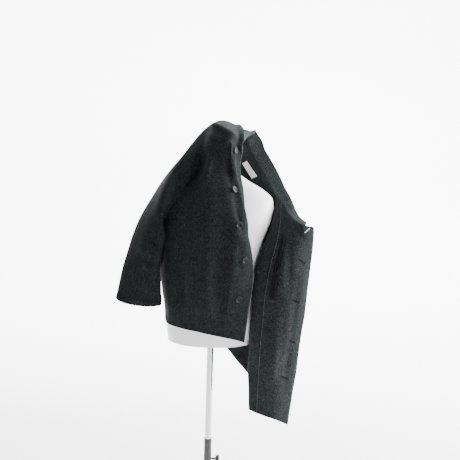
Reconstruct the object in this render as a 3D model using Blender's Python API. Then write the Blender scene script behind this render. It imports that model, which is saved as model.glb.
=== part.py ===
# Chore jacket slung on a limbless dress form with its stand.
# Metres, +Z up, front towards -Y, origin at the centre of the base plate's underside.
# The tables below are in millimetres. Columns across/up give a line of the garment as it is
# seen from in front, measured in the upright plane through the stand's axis; ahead is how far
# the point lies in front of that plane. seen() slides the point along the line of sight.
import bpy
import bmesh
import math
import numpy as np
from mathutils import Vector
from mathutils.bvhtree import BVHTree

# ---------------------------------------------------------------- driving sizes (mm)
EYE = (60.0, -2260.0, 1530.0)      # where the front outline is seen from
CLOTH = 2.6                        # melton wall
FACING = 2.0                       # facing wall
SEAM = 0.3                         # gap between pieces at a seam
CLEAR = 5.0                        # cloth's middle to the form, at least
BUTTON_FROM_EDGE = (44.0, 56.0, 56.0, 45.0, 44.0)   # 2 and 3 lie behind the fold of the edge
BUTTON_R, BUTTON_T = 11.5, 3.6
COLLAR_ENDS = 35.0                 # collar stops this short of the front edges
POLE_R = 12.5
TUBE_R, TUBE_BORE = 14.2, 12.58
TUBE_TOP, POLE_FOOT = 383.0, 190.0
BASE_R, BASE_H = 170.0, 8.0


def seen(across, up, ahead):
    k = (-EYE[1] - ahead) / -EYE[1]
    return np.array([EYE[0] + (across - EYE[0]) * k, -ahead, EYE[2] + (up - EYE[2]) * k])


def real(x, y, z):
    return np.array([float(x), float(y), float(z)])


# ---------------------------------------------------------------- dress form
# z, half width, half depth, middle's x and y, squareness of the section
FORM = [
    ("bottom edge", 776, 157, 112,  0,   2, 2.3),
    ("hip",         850, 163, 118,  0,   2, 2.3),
    ("waist",       950, 155, 108,  0,   3, 2.3),
    ("ribs",       1050, 160, 108,  1,   3, 2.35),
    ("chest",      1150, 180, 114,  3,   2, 2.4),
    ("underarm",   1215, 200, 113,  5,   2, 2.3),
    ("arm end",    1265, 209, 100,  6,   4, 2.15),
    ("tip",        1300, 203,  82,  6,   6, 2.0),
    ("slope low",  1330, 166,  72,  7,   6, 2.0),
    ("slope high", 1358, 112,  62,  9,   4, 2.0),
    ("neck root",  1388,  66,  56, 12,   2, 2.0),
    ("neck low",   1420,  50,  50, 14,   0, 2.0),
    ("neck top",   1500,  35,  35, 23,  -8, 2.0),
]
CAP = {"x": 26.0, "y": -10.0, "r": 35.0, "over": 1.5, "middle": 1539.0, "thick": 9.0,
       "fall_ahead": 0.34, "fall_right": 0.06}


def nat_spline(xs, ys, xq):
    """Natural cubic spline through rows ys at xs, read at xq."""
    xs = np.asarray(xs, float)
    ys = np.asarray(ys, float)
    xq = np.asarray(xq, float)
    n = len(xs)
    h = np.diff(xs)
    A = np.zeros((n, n))
    r = np.zeros_like(ys)
    A[0, 0] = A[-1, -1] = 1.0
    for i in range(1, n - 1):
        A[i, i - 1] = h[i - 1]
        A[i, i] = 2 * (h[i - 1] + h[i])
        A[i, i + 1] = h[i]
        r[i] = 6 * ((ys[i + 1] - ys[i]) / h[i] - (ys[i] - ys[i - 1]) / h[i - 1])
    m = np.linalg.solve(A, r.reshape(n, -1)).reshape(ys.shape)
    k = np.clip(np.searchsorted(xs, xq, side="right") - 1, 0, n - 2)
    t = xq - xs[k]
    hk = h[k]
    sh = (-1,) + (1,) * (ys.ndim - 1)
    t, hk = t.reshape(sh), hk.reshape(sh)
    a, b, ma, mb = ys[k], ys[k + 1], m[k], m[k + 1]
    return (ma * (hk - t) ** 3 + mb * t ** 3) / (6 * hk) + (a / hk - ma * hk / 6) * (hk - t) \
        + (b / hk - mb * hk / 6) * t


def form_at(z):
    zs = [r[1] for r in FORM]
    cols = np.array([r[2:] for r in FORM], float)
    z = min(max(z, zs[0]), zs[-1])
    return [float(np.interp(z, zs, cols[:, i])) for i in range(5)]


def cap_z(x, y):
    """Height of the neck cap's slanting top."""
    return CAP["middle"] + CAP["fall_ahead"] * (y - CAP["y"]) - CAP["fall_right"] * (x - CAP["x"])


def clear_of_form(p, gap=CLEAR):
    """Push a cloth point out of the form, level, so that it stands at least gap away."""
    x, y, z = p
    if z < FORM[0][1] - 20:
        return p
    if z > 1495:
        dx, dy = x - CAP["x"], y - CAP["y"]
        top = cap_z(x, y) + gap
        rr = math.hypot(dx, dy)
        lim = CAP["r"] + CAP["over"] + gap
        if rr < lim and z < top:
            if top - z < lim - rr:
                return np.array([x, y, top])
            s = lim / max(rr, 1e-6)
            return np.array([CAP["x"] + dx * s, CAP["y"] + dy * s, z])
        return p
    a, b, x0, y0, q = form_at(z)
    a, b = a + gap, b + gap
    dx, dy = x - x0, y - y0
    f = (abs(dx) / a) ** q + (abs(dy) / b) ** q
    if f >= 1.0:
        return p
    s = (1.0 / max(f, 1e-9)) ** (1.0 / q)
    return np.array([x0 + dx * s, y0 + dy * s, z])


# ---------------------------------------------------------------- cloth lines
# Seams that two pieces share. Every line runs from its top or neck end.
#                 across    up  ahead
SHOULDER_R = [("neck point", seen(104, 1526, -80)),
              ("behind cap", seen(62, 1556, -42)),
              ("over cap",   seen(15, 1567, -22)),
              ("cap's left", seen(-28, 1545, -12)),
              ("tip",        seen(-81, 1486, -4))]
#                            x    y     z
SHOULDER_L = [("neck point", seen(218, 1314, -20)),
              ("half way",   real(236, 52, 1240)),
              ("tip",        real(244, 84, 1158))]
NECK_BACK = [("right neck point", SHOULDER_R[0][1]),
             ("right",            seen(122, 1476, -84)),
             ("centre back",      seen(152, 1424, -72)),
             ("left",             seen(186, 1370, -44)),
             ("left neck point",  SHOULDER_L[0][1])]
NECK_FRONT_R = [("corner",     seen(93, 1487, 58)),
                ("collar end", seen(99, 1497, 26)),
                ("side",       seen(106, 1507, -32)),
                ("neck point", SHOULDER_R[0][1])]
NECK_FRONT_L = [("corner",     seen(360, 1200, 70)),
                ("collar end", seen(322, 1207, 84)),
                ("front",      seen(297, 1218, 74)),
                ("side",       seen(252, 1270, 30)),
                ("neck point", SHOULDER_L[0][1])]

# ---------------------------------------------------------------- right front, outside shows
# rows: one per level; each guide runs from the neckline or shoulder down to the hem
ROWS_R = [0.0, 0.07, 0.17, 0.29, 0.42, 0.57, 0.77, 1.0]      # 4 = underarm
UNDERARM_R = 4
GUIDES_FR = [  # name, place across the piece, then (across, up, ahead) a row
    ("edge", 0.00, [(93, 1487, 58), (95, 1458, 36), (92, 1412, 28), (106, 1325, 62),
                    (117, 1212, 104), (146, 1062, 112), (141, 920, 128), (125, 762, 134)]),
    ("button line", 0.14, [(99, 1502, 6), (66, 1470, 62), (67, 1412, 64), (75, 1322, 98),
                           (106, 1210, 140), (121, 1066, 142), (97, 916, 142), (82, 772, 140)]),
    ("neck point", 0.30, [(104, 1526, -80), (66, 1512, 66), (52, 1420, 74), (58, 1325, 112),
                          (66, 1215, 150), (66, 1075, 156), (52, 916, 150), (38, 780, 144)]),
    ("chest ridge", 0.50, [(15, 1567, -22), (14, 1534, 68), (8, 1425, 74), (2, 1325, 112),
                           (0, 1220, 148), (-4, 1080, 154), (-14, 920, 150), (-26, 792, 142)]),
    ("chest fall", 0.68, [(-28, 1545, -12), (-26, 1520, 48), (-34, 1425, 60), (-48, 1325, 92),
                          (-66, 1222, 124), (-78, 1085, 136), (-84, 920, 132), (-84, 804, 126)]),
    ("valley", 0.80, [(-46, 1528, -8), (-42, 1490, 30), (-58, 1425, 38), (-82, 1325, 54),
                      (-112, 1222, 84), (-130, 1090, 96), (-140, 930, 94), (-128, 815, 94)]),
    ("shoulder ridge", 0.91, [(-66, 1506, -6), (-66, 1470, 30), (-82, 1415, 50), (-104, 1322, 66),
                              (-140, 1212, 76), (-164, 1095, 58), (-165, 935, 54), (-151, 828, 52)]),
    ("side", 1.00, [(-81, 1486, -4), (-98, 1448, 24), (-122, 1400, 48), (-132, 1308, 72),
                    (-172, 1196, 58), (-188, 1085, 22), (-177, 945, 0), (-161, 843, 2)]),
]

# ---------------------------------------------------------------- left front, inside shows
ROWS_L = [0.0, 0.10, 0.24, 0.41, 0.59, 0.79, 1.0]            # 3 = underarm
UNDERARM_L = 3
GUIDES_FL = [
    ("edge", 0.00, [(360, 1200, 70), (359, 1130, 72), (351, 1029, 76), (341, 892, 80),
                    (328, 755, 84), (312, 598, 88), (297, 445, 90)]),
    ("collar end", 0.12, [(322, 1207, 84), (320, 1132, 94), (312, 1026, 104), (303, 892, 108),
                          (290, 758, 112), (272, 604, 114), (260, 460, 114)]),
    ("pocket", 0.30, [(290, 1224, 72), (276, 1140, 94), (258, 1030, 112), (250, 900, 118),
                      (238, 764, 120), (224, 612, 120), (216, 474, 118)]),
    ("facing edge", 0.47, [(252, 1270, 30), (236, 1182, 66), (206, 1050, 96), (188, 912, 104),
                           (181, 772, 106), (179, 622, 104), (178, 488, 102)]),
    ("fold", 0.60, [(218, 1314, -20), (213, 1228, 28), (172, 1098, 62), (148, 950, 76),
                    (145, 792, 78), (145, 634, 78), (152, 500, 78)]),
    ("return", 0.76, None),
    ("side", 1.00, None),
]
# the hidden part of the left front, in true places: x, y, z
RETURN_L = [(236, 52, 1240), (242, 6, 1160), (216, -12, 1058), (188, -14, 926),
            (180, -14, 786), (176, -16, 634), (178, -20, 502)]
SIDE_L = [(244, 84, 1158), (262, 44, 1092), (256, 30, 1006), (214, 52, 922),
          (200, 56, 784), (196, 56, 636), (196, 54, 494)]

# ---------------------------------------------------------------- back
ROWS_B = [0.0, 0.12, 0.27, 0.42, 0.60, 0.80, 1.0]
# true places x, y, z a row; the first and last guides end at the side seams
ARMHOLE_BACK_R = [(-100, 44, 1436), (-138, 68, 1372), (-188, 68, 1298), (-220, 16, 1228), (-208, -28, 1200)]
ARMHOLE_BACK_L = [(240, 104, 1086), (226, 104, 1006)]
GUIDES_B = [
    ("right side", 0.14, [None, (-66, 62, 1464), (-142, 94, 1318), (-212, 18, 1176),
                          (-208, 46, 1108), (-196, 68, 1030), (-174, 88, 946)]),
    ("right shoulder", 0.30, [None, (8, 76, 1490), (-60, 112, 1350), (-164, 94, 1190),
                              (-162, 106, 1090), (-138, 118, 980), (-100, 124, 866)]),
    ("right neck", 0.45, [None, (66, 92, 1444), (0, 120, 1335), (-78, 130, 1195),
                          (-70, 138, 1060), (-46, 142, 920), (-14, 138, 770)]),
    ("centre back", 0.58, [None, (112, 100, 1350), (66, 126, 1262), (20, 142, 1160),
                           (22, 146, 1020), (34, 148, 870), (52, 142, 700)]),
    ("left neck", 0.70, [None, (192, 76, 1226), (160, 112, 1140), (124, 136, 1050),
                         (112, 142, 920), (108, 144, 780), (112, 138, 628)]),
    ("left shoulder", 0.85, [None, (232, 90, 1150), (218, 114, 1050), (200, 124, 956),
                             (184, 124, 830), (180, 120, 690), (182, 112, 550)]),
]

# ---------------------------------------------------------------- sleeves
# t, outer line, inner line, front and back of the ring measured from its middle
SLEEVE_R = [
    ("cap",     0.16, seen(-132, 1416, 6), seen(-160, 1174, 88), (-28, -60, -8), (-78, 121, -52)),
    ("upper",   0.34, seen(-217, 1294, 6), seen(-178, 1126, 84), (0, -56, 0), (-44, 88, -26)),
    ("elbow",   0.56, seen(-287, 1160, 8), seen(-188, 1062, 70), (0, -46, 0), (-14, 72, 0)),
    ("lower",   0.78, seen(-328, 1020, 12), seen(-182, 986, 54), (0, -34, -5), (0, 50, 0)),
    ("cuff",    1.00, seen(-349, 918, 14), seen(-179, 901, 38), (0, -26, -13), (0, 30, 0)),
]
SLEEVE_L = [
    ("cap",     0.16, real(290, 66, 1092), real(230, 44, 880), (26, -38, 0), (8, 44, 0)),
    ("upper",   0.34, real(324, 40, 984), real(234, 26, 842), (4, -44, 0), (0, 44, 0)),
    ("elbow",   0.56, real(334, 8, 846), real(230, 20, 764), (0, -46, 0), (0, 48, 0)),
    ("lower",   0.78, real(322, -14, 700), real(228, 20, 664), (0, -46, 0), (0, 44, 0)),
    ("cuff",    1.00, real(304, -24, 548), real(224, 20, 556), (0, -44, -6), (0, 42, 0)),
]

# ---------------------------------------------------------------- collar
# place along the neckline, rise: x, y, z of the collar's top edge from its seam
COLLAR = [("right end", 0.0, (-3, 8, 42)), ("right side", 0.08, (15, 12, 29)),
          ("right point", 0.16, (33, 13, 12)), ("right back", 0.26, (38, 8, 17)),
          ("centre back", 0.50, (42, 6, 18)), ("left back", 0.66, (36, 10, 20)),
          ("left side", 0.84, (25, 19, 17)), ("left end", 1.0, (7, 16, 8))]


# ---------------------------------------------------------------- surfaces
def line(table, n):
    """n + 1 evenly spaced points along a smooth line through a table's places."""
    pts = np.array([r[1] if isinstance(r, tuple) and isinstance(r[0], str) else r for r in table])
    d = np.concatenate([[0], np.cumsum(np.linalg.norm(np.diff(pts, axis=0), axis=1))])
    fine = nat_spline(d, pts, np.linspace(0, d[-1], 400))
    s = np.concatenate([[0], np.cumsum(np.linalg.norm(np.diff(fine, axis=0), axis=1))])
    q = np.linspace(0, s[-1], n + 1)
    return np.stack([np.interp(q, s, fine[:, i]) for i in range(3)], axis=1)


def patch(us, vs, net, uq, vq):
    """Smooth surface through a net of guides: net[row][guide] -> grid[vq][uq]."""
    net = np.asarray(net, float)
    rows = nat_spline(vs, net, vq)                       # (nv, guides, 3)
    return np.stack([nat_spline(us, rows[i], uq) for i in range(len(vq))])


def snap_edge(grid, side, pts):
    """Move one edge of a grid to given points; the change fades over the rows next to it."""
    g = grid.copy()
    fade = [1.0, 0.55, 0.2, 0.05]
    for k, f in enumerate(fade):
        if side == "top" and k < g.shape[0]:
            g[k] += (pts - grid[0]) * f
        elif side == "left" and k < g.shape[1]:
            g[:, k] += (pts - grid[:, 0]) * f
        elif side == "right" and k < g.shape[1]:
            g[:, -1 - k] += (pts - grid[:, -1]) * f
    return g


def relax(g, side, columns, rows, turns=8):
    """Even out the cells beside one edge; the edges themselves stay."""
    g = g.copy()
    nv, nu = g.shape[:2]
    for _ in range(turns):
        new = g.copy()
        for i in range(1, min(rows, nv - 1)):
            for c in range(1, columns):
                j = c if side == "left" else nu - 1 - c
                w = 0.5 * (1 - c / columns) * min(1.0, (rows - i) / 4)
                mean = (g[i - 1, j] + g[i + 1, j] + g[i, j - 1] + g[i, j + 1]) / 4
                new[i, j] = g[i, j] * (1 - w) + mean * w
        g = new
    return g


def normals(g, wrap=False):
    """Unit normals of a grid (rows down, columns across), each from the cells round it."""
    q = np.concatenate([g, g[:, :1]], axis=1) if wrap else g
    cell = np.cross(q[1:, 1:] - q[:-1, :-1], q[1:, :-1] - q[:-1, 1:])
    n = np.zeros_like(q)
    for a in (0, 1):
        for b in (0, 1):
            n[a:len(q) - 1 + a, b:q.shape[1] - 1 + b] += cell
    if wrap:
        n[:, 0] += n[:, -1]
        n = n[:, :-1]
    return n / np.maximum(np.linalg.norm(n, axis=2, keepdims=True), 1e-9)


def push_clear(g, gap=CLEAR):
    out = g.copy()
    for i in range(g.shape[0]):
        for j in range(g.shape[1]):
            out[i, j] = clear_of_form(g[i, j], gap)
    return out


def split(rows, first, second, at):
    """Row places with first steps above row number at, second steps below it."""
    a = np.linspace(0, rows[at], first + 1)
    b = np.linspace(rows[at], 1.0, second + 1)[1:]
    return np.concatenate([a, b])


# ---------------------------------------------------------------- mesh helpers
def clear_scene():
    for o in list(bpy.data.objects):
        bpy.data.objects.remove(o, do_unlink=True)


def material(name, rgb, rough, metal=0.0):
    m = bpy.data.materials.new(name)
    m.use_nodes = True
    b = m.node_tree.nodes["Principled BSDF"]
    b.inputs["Base Color"].default_value = (*rgb, 1.0)
    b.inputs["Roughness"].default_value = rough
    b.inputs["Metallic"].default_value = metal
    m.diffuse_color = (*rgb, 1.0)
    return m


def keep(name, mesh, mat, smooth=True):
    o = bpy.data.objects.new(name, mesh)
    PARTS.objects.link(o)
    mesh.materials.append(mat)
    if smooth:
        mesh.shade_smooth()
        mesh.set_sharp_from_angle(angle=math.radians(40))
    return o


def from_bm(bm, name, mat, smooth=True):
    bmesh.ops.recalc_face_normals(bm, faces=bm.faces)
    me = bpy.data.meshes.new(name)
    bm.to_mesh(me)
    bm.free()
    return keep(name, me, mat, smooth)


def wall(name, g, n, thick, mat, wrap=False, like=None):
    """A closed cloth wall: the grid moved half the thickness out and in, joined round its rim."""
    nv, nu = g.shape[:2]
    bm = bmesh.new()
    skins = []
    for s in (0.5, -0.5):
        q = (g + n * thick * s) * 0.001
        skins.append([[bm.verts.new(q[i, j]) for j in range(nu)] for i in range(nv)])
    a, b = skins
    cols = nu if wrap else nu - 1
    d = g if like is None else like
    for i in range(nv - 1):
        for j in range(cols):
            k = (j + 1) % nu
            # both skins are split along the same, shorter diagonal of the cell
            if np.linalg.norm(d[i, j] - d[i + 1, k]) < np.linalg.norm(d[i + 1, j] - d[i, k]):
                halves = (((i, j), (i + 1, j), (i + 1, k)), ((i, j), (i + 1, k), (i, k)))
            else:
                halves = (((i, j), (i + 1, j), (i, k)), ((i + 1, j), (i + 1, k), (i, k)))
            for h in halves:
                bm.faces.new([a[p][q] for p, q in h])
                bm.faces.new([b[p][q] for p, q in h[::-1]])
    for i in (0, nv - 1):
        for j in range(cols):
            k = (j + 1) % nu
            bm.faces.new((a[i][j], a[i][k], b[i][k], b[i][j]))
    if not wrap:
        for j in (0, nu - 1):
            for i in range(nv - 1):
                bm.faces.new((a[i][j], a[i + 1][j], b[i + 1][j], b[i][j]))
    return from_bm(bm, name, mat)


def spread(g, n):
    """How much further than square a point must move for its cells to move by one."""
    cell = np.cross(g[1:, 1:] - g[:-1, :-1], g[1:, :-1] - g[:-1, 1:])
    cell = cell / np.maximum(np.linalg.norm(cell, axis=2, keepdims=True), 1e-9)
    k = np.ones(g.shape[:2])
    for i in range(g.shape[0]):
        for j in range(g.shape[1]):
            near = cell[max(i - 1, 0):i + 1, max(j - 1, 0):j + 1].reshape(-1, 3)
            k[i, j] = 1.0 / min(max(float(np.min(np.abs(near @ n[i, j]))), 0.55), 1.0)
    return k[..., None]


def draw_in(g, side, amount):
    """Draw one edge of a grid in along the surface."""
    g = g.copy()
    at, nxt = {"top": (np.s_[0], np.s_[1]), "bottom": (np.s_[-1], np.s_[-2]),
               "left": (np.s_[:, 0], np.s_[:, 1]), "right": (np.s_[:, -1], np.s_[:, -2])}[side]
    d = g[nxt] - g[at]
    g[at] = g[at] + d / np.maximum(np.linalg.norm(d, axis=-1, keepdims=True), 1e-9) * amount
    return g


def inward(g, side, k):
    """Direction in the surface, square to an edge, from one of its points into the piece."""
    if side == "top":
        edge, nxt = g[0], g[1]
    elif side == "left":
        edge, nxt = g[:, 0], g[:, 1]
    else:
        edge, nxt = g[:, -1], g[:, -2]
    t = edge[min(k + 1, len(edge) - 1)] - edge[max(k - 1, 0)]
    t = t / max(float(np.linalg.norm(t)), 1e-9)
    d = nxt[k] - edge[k]
    d = d - t * float(np.dot(d, t))
    return d / max(float(np.linalg.norm(d)), 1e-9)


def seam(team, least=0.0):
    """Note how far each piece that meets at one seam point is cut back, so that the walls
    stand apart by the seam gap. team: list of (piece, side, place along that side)."""
    ds = [inward(GRIDS[p], side, k) for p, side, k in team]
    for i, (p, side, k) in enumerate(team):
        worst = min(math.acos(max(-1.0, min(1.0, float(np.dot(ds[i], d))))) for j, d in enumerate(ds) if j != i)
        half = max(worst / 2, math.radians(8))
        back_off = (CLOTH / 2 + 0.2) / math.tan(half) + SEAM / 2 / math.sin(half) + 0.15
        CUTS[p, side, k] = max(CUTS.get((p, side, k), 0.0), back_off, least)


def cut_back(p):
    """Apply the noted cuts to a piece's edges."""
    g = GRIDS[p].copy()
    src = GRIDS[p]
    shifts = {}
    for (q, side, k), amount in CUTS.items():
        if q == p:
            at = {"top": (0, k), "left": (k, 0), "right": (k, src.shape[1] - 1)}[side]
            shifts.setdefault(at, []).append((inward(src, side, k), amount))
    for at, moves in shifts.items():
        if len(moves) == 2 and float(np.dot(moves[0][0], moves[1][0])) > 0.2:
            d = moves[0][0] + moves[1][0]        # a corner nearly as wide as a straight edge
            g[at] += d / np.linalg.norm(d) * max(moves[0][1], moves[1][1])
        else:
            for d, amount in moves:
                g[at] += d * amount
    return g


# ---------------------------------------------------------------- build
clear_scene()
PARTS = bpy.data.collections.new("jacket_on_dress_form")
bpy.context.scene.collection.children.link(PARTS)

WOOL = (0.028, 0.029, 0.031)
melton = {}
for part_name, tone in (("front_right", 1.0), ("front_left", 1.05), ("back", 0.95),
                        ("sleeve_right", 1.1), ("sleeve_left", 1.1), ("collar", 1.2),
                        ("facing", 0.9), ("welt", 0.8)):
    melton[part_name] = material("melton_" + part_name, tuple(c * tone for c in WOOL), 0.95)

# --- right front -------------------------------------------------------------
NECK_N, SHOULDER_N = 6, 8          # columns along neckline and shoulder
ARM_N, SIDE_N = 9, 9               # rows along armhole and side seam
us_r = [g[1] for g in GUIDES_FR]
u_np = us_r[2]
uq_r = np.concatenate([np.linspace(0, u_np, NECK_N + 1), np.linspace(u_np, 1, SHOULDER_N + 1)[1:]])
vq_r = split(ROWS_R, ARM_N, SIDE_N, UNDERARM_R)
net_r = [[seen(*g[2][i]) for g in GUIDES_FR] for i in range(len(ROWS_R))]
front_r = patch(us_r, ROWS_R, net_r, uq_r, vq_r)



def neck_line(table, n):
    """n + 1 points along a front neckline; the second is where the collar ends."""
    fine = line(table, 200)
    d = np.concatenate([[0], np.cumsum(np.linalg.norm(np.diff(fine, axis=0), axis=1))])
    q = np.concatenate([[0], np.linspace(COLLAR_ENDS, d[-1], n)])
    return np.stack([np.interp(q, d, fine[:, i]) for i in range(3)], axis=1)


neck_r, neck_l = neck_line(NECK_FRONT_R, NECK_N), neck_line(NECK_FRONT_L, 9)
top_r = np.concatenate([neck_r, line(SHOULDER_R, SHOULDER_N)[1:]])
front_r = snap_edge(front_r, "top", top_r)
front_r = push_clear(front_r)

# --- left front ----------------------------------------------------------------
us_l = [g[1] for g in GUIDES_FL]
u_npl = us_l[4]
NECK_NL, SHOULDER_NL = 9, 6
uq_l = np.concatenate([np.linspace(0, u_npl, NECK_NL + 1), np.linspace(u_npl, 1, SHOULDER_NL + 1)[1:]])
vq_l = split(ROWS_L, ARM_N, SIDE_N, UNDERARM_L)
net_l = []
for i in range(len(ROWS_L)):
    row = [seen(*g[2][i]) for g in GUIDES_FL[:5]]
    row += [real(*RETURN_L[i]), real(*SIDE_L[i])]
    net_l.append(row)
front_l = patch(us_l, ROWS_L, net_l, uq_l, vq_l)
top_l = np.concatenate([neck_l, line(SHOULDER_L, SHOULDER_NL)[1:]])
front_l = snap_edge(front_l, "top", top_l)
front_l = push_clear(front_l)

# --- back ------------------------------------------------------------------------
BACK_NECK_N = 10
us_b = [0.0] + [g[1] for g in GUIDES_B] + [1.0]
uq_b = np.concatenate([np.linspace(0, us_b[3], SHOULDER_N + 1),
                       np.linspace(us_b[3], us_b[5], BACK_NECK_N + 1)[1:],
                       np.linspace(us_b[5], 1.0, SHOULDER_NL + 1)[1:]])
arm_br = line([SHOULDER_R[-1][1]] + [real(*p) for p in ARMHOLE_BACK_R] + [front_r[ARM_N, -1]], ARM_N)
arm_bl = line([SHOULDER_L[-1][1]] + [real(*p) for p in ARMHOLE_BACK_L] + [front_l[ARM_N, -1]], ARM_N)
arm_br[1:-1] = push_clear(arm_br[None, 1:-1])[0]
arm_bl[1:-1] = push_clear(arm_bl[None, 1:-1])[0]
side_br = np.concatenate([arm_br, front_r[ARM_N + 1:, -1]])
side_bl = np.concatenate([arm_bl, front_l[ARM_N + 1:, -1]])
vq_b = split(ROWS_B, ARM_N, SIDE_N, 3)
sr, nb, sl = line(SHOULDER_R, SHOULDER_N)[::-1], line(NECK_BACK, BACK_NECK_N), line(SHOULDER_L, SHOULDER_NL)
top_b = np.concatenate([sr, nb[1:], sl[1:]])
tops = [np.array([np.interp(u, uq_b, top_b[:, k]) for k in range(3)]) for u in us_b]


def read_rows(edge, vq, rows):
    return [np.array([np.interp(v, vq, edge[:, k]) for k in range(3)]) for v in rows]


left_col, right_col = read_rows(side_br, vq_b, ROWS_B), read_rows(side_bl, vq_b, ROWS_B)
net_b = []
for i in range(len(ROWS_B)):
    mid = [tops[k + 1] if i == 0 else real(*GUIDES_B[k][2][i]) for k in range(len(GUIDES_B))]
    net_b.append([left_col[i]] + mid + [right_col[i]])
back = patch(us_b, ROWS_B, net_b, uq_b, vq_b)
back = snap_edge(back, "left", side_br)
back = snap_edge(back, "right", side_bl)
back = snap_edge(back, "top", top_b)
back[0] = top_b
back[:, 0], back[:, -1] = side_br, side_bl
back = relax(back, "left", 7, 14)
back = relax(back, "right", 4, 14)
back = push_clear(back)
back[0] = top_b
back[:, 0], back[:, -1] = side_br, side_bl
front_r[0] = top_r
front_l[0] = top_l


# --- sleeves ---------------------------------------------------------------------
def sleeve(front_edge, back_edge, table, rings=13):
    """Rings from the armhole to the cuff. Ring points start at the shoulder tip, run down
    the front to the underarm and up the back."""
    arm = np.concatenate([front_edge, back_edge[::-1][1:-1]])
    n = len(arm)
    half = n // 2
    ang = np.concatenate([np.linspace(0, math.pi, half + 1), np.linspace(math.pi, 2 * math.pi, half + 1)[1:-1]])
    ts = [0.0] + [r[1] for r in table]
    rows = [arm]
    for _, t, outer, inner, front, behind in table:
        mid, arm_half = (outer + inner) / 2, (outer - inner) / 2
        ring = []
        for a in ang:
            w = np.array(front if a <= math.pi else behind, float)
            ring.append(mid + arm_half * math.cos(a) + w * abs(math.sin(a)))
        rows.append(np.array(ring))
    q = np.linspace(0, 1, rings)
    return nat_spline(ts, np.array(rows), q)


sleeve_r = sleeve(front_r[:ARM_N + 1, -1], side_br[:ARM_N + 1], SLEEVE_R)
sleeve_l = sleeve(front_l[:ARM_N + 1, -1], side_bl[:ARM_N + 1], SLEEVE_L)
for k in range(1, len(sleeve_r)):
    sleeve_r[k] = push_clear(sleeve_r[k:k + 1], CLEAR + min(9.0, 3.0 * k))[0]
    sleeve_l[k] = push_clear(sleeve_l[k:k + 1], CLEAR + min(9.0, 3.0 * k))[0]

# --- normals, out of the garment; sleeves kept outside the body pieces ------------------
n_fr = normals(front_r)
n_fl = normals(front_l)
n_bk = normals(back)


def point_out(n, g, at, towards):
    """Turn a normal field so that at one place it looks along a direction."""
    return n if float(np.dot(n[at], towards)) > 0 else -n


mid_r = (9, 9)
n_fr = point_out(n_fr, front_r, mid_r, np.array([0, -1, 0]))
n_fl = point_out(n_fl, front_l, (9, 4), np.array([0, 1, 0]))
n_bk = point_out(n_bk, back, (9, 12), np.array([0, 1, 0]))


def ease(rings, w=0.35):
    """Let a sleeve's points settle towards their neighbours; armhole and cuff stay."""
    out = rings.copy()
    for i in range(1, len(rings) - 1):
        near = (rings[i - 1] + rings[i + 1] + np.roll(rings[i], 1, axis=0) + np.roll(rings[i], -1, axis=0)) / 4
        fade = w if i < 5 else w * 0.3
        out[i] = rings[i] * (1 - fade) + near * fade
    return out


def outside(rings, bodies, gaps, reach):
    """Keep sleeve rings at least gaps[ring] outside the body pieces they hang beside."""
    out = rings.copy()
    for g, n in bodies:
        verts = [Vector(v) for v in g.reshape(-1, 3)]
        nu = g.shape[1]
        cells = [(i * nu + j, (i + 1) * nu + j, (i + 1) * nu + j + 1, i * nu + j + 1)
                 for i in range(g.shape[0] - 1) for j in range(nu - 1)]
        tree = BVHTree.FromPolygons(verts, cells)
        for i in range(1, len(out)):
            gap = gaps[min(i, len(gaps) - 1)]
            for j in range(out.shape[1]):
                hit, face_n, cell, dist = tree.find_nearest(Vector(out[i, j]), 60.0)
                near_underarm = min(max((reach - abs(j - ARM_N)) / 3.0, 0.0), 1.0)
                if hit is None or near_underarm == 0.0:
                    continue
                r, c = divmod(cell, nu - 1)
                m = n[r, c] + n[r + 1, c] + n[r, c + 1] + n[r + 1, c + 1]
                m = m / np.linalg.norm(m)
                d = float(np.dot(out[i, j] - np.array(hit), m))
                if d < gap:
                    out[i, j] += m * (gap - d) * near_underarm
    return out


GAPS_R, GAPS_L = [0, 12, 15, 15, 13, 12, 11], [0, 9, 12, 12, 11, 10, 10]
for turn in range(3):
    sleeve_r, sleeve_l = ease(sleeve_r), ease(sleeve_l)
    sleeve_r = outside(sleeve_r, [(front_r, n_fr), (back, n_bk)], GAPS_R, 4.6)
    sleeve_l = outside(sleeve_l, [(front_l, n_fl), (back, n_bk)], GAPS_L, 5.0)
n_sr = normals(sleeve_r, wrap=True)
n_sl = normals(sleeve_l, wrap=True)
n_sr = point_out(n_sr, sleeve_r, (8, 0), np.array([-1, 0, 0.2]))
n_sl = point_out(n_sl, sleeve_l, (8, 0), np.array([1, 0, 0.2]))

# --- collar ---------------------------------------------------------------------------
base = np.concatenate([neck_r[1:], nb[1:], neck_l[::-1][1:-1]])
COLLAR_N = len(base) - 1
d_base = np.concatenate([[0], np.cumsum(np.linalg.norm(np.diff(base, axis=0), axis=1))])
rise = nat_spline([c[1] for c in COLLAR], np.array([c[2] for c in COLLAR], float), d_base / d_base[-1])
collar = np.stack([base + rise * f for f in (0.0, 0.33, 0.67, 1.0)])
n_co = normals(collar)
n_co = point_out(n_co, collar, (2, NECK_N + 4), np.array([0, 1, 0.3]))

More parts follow.
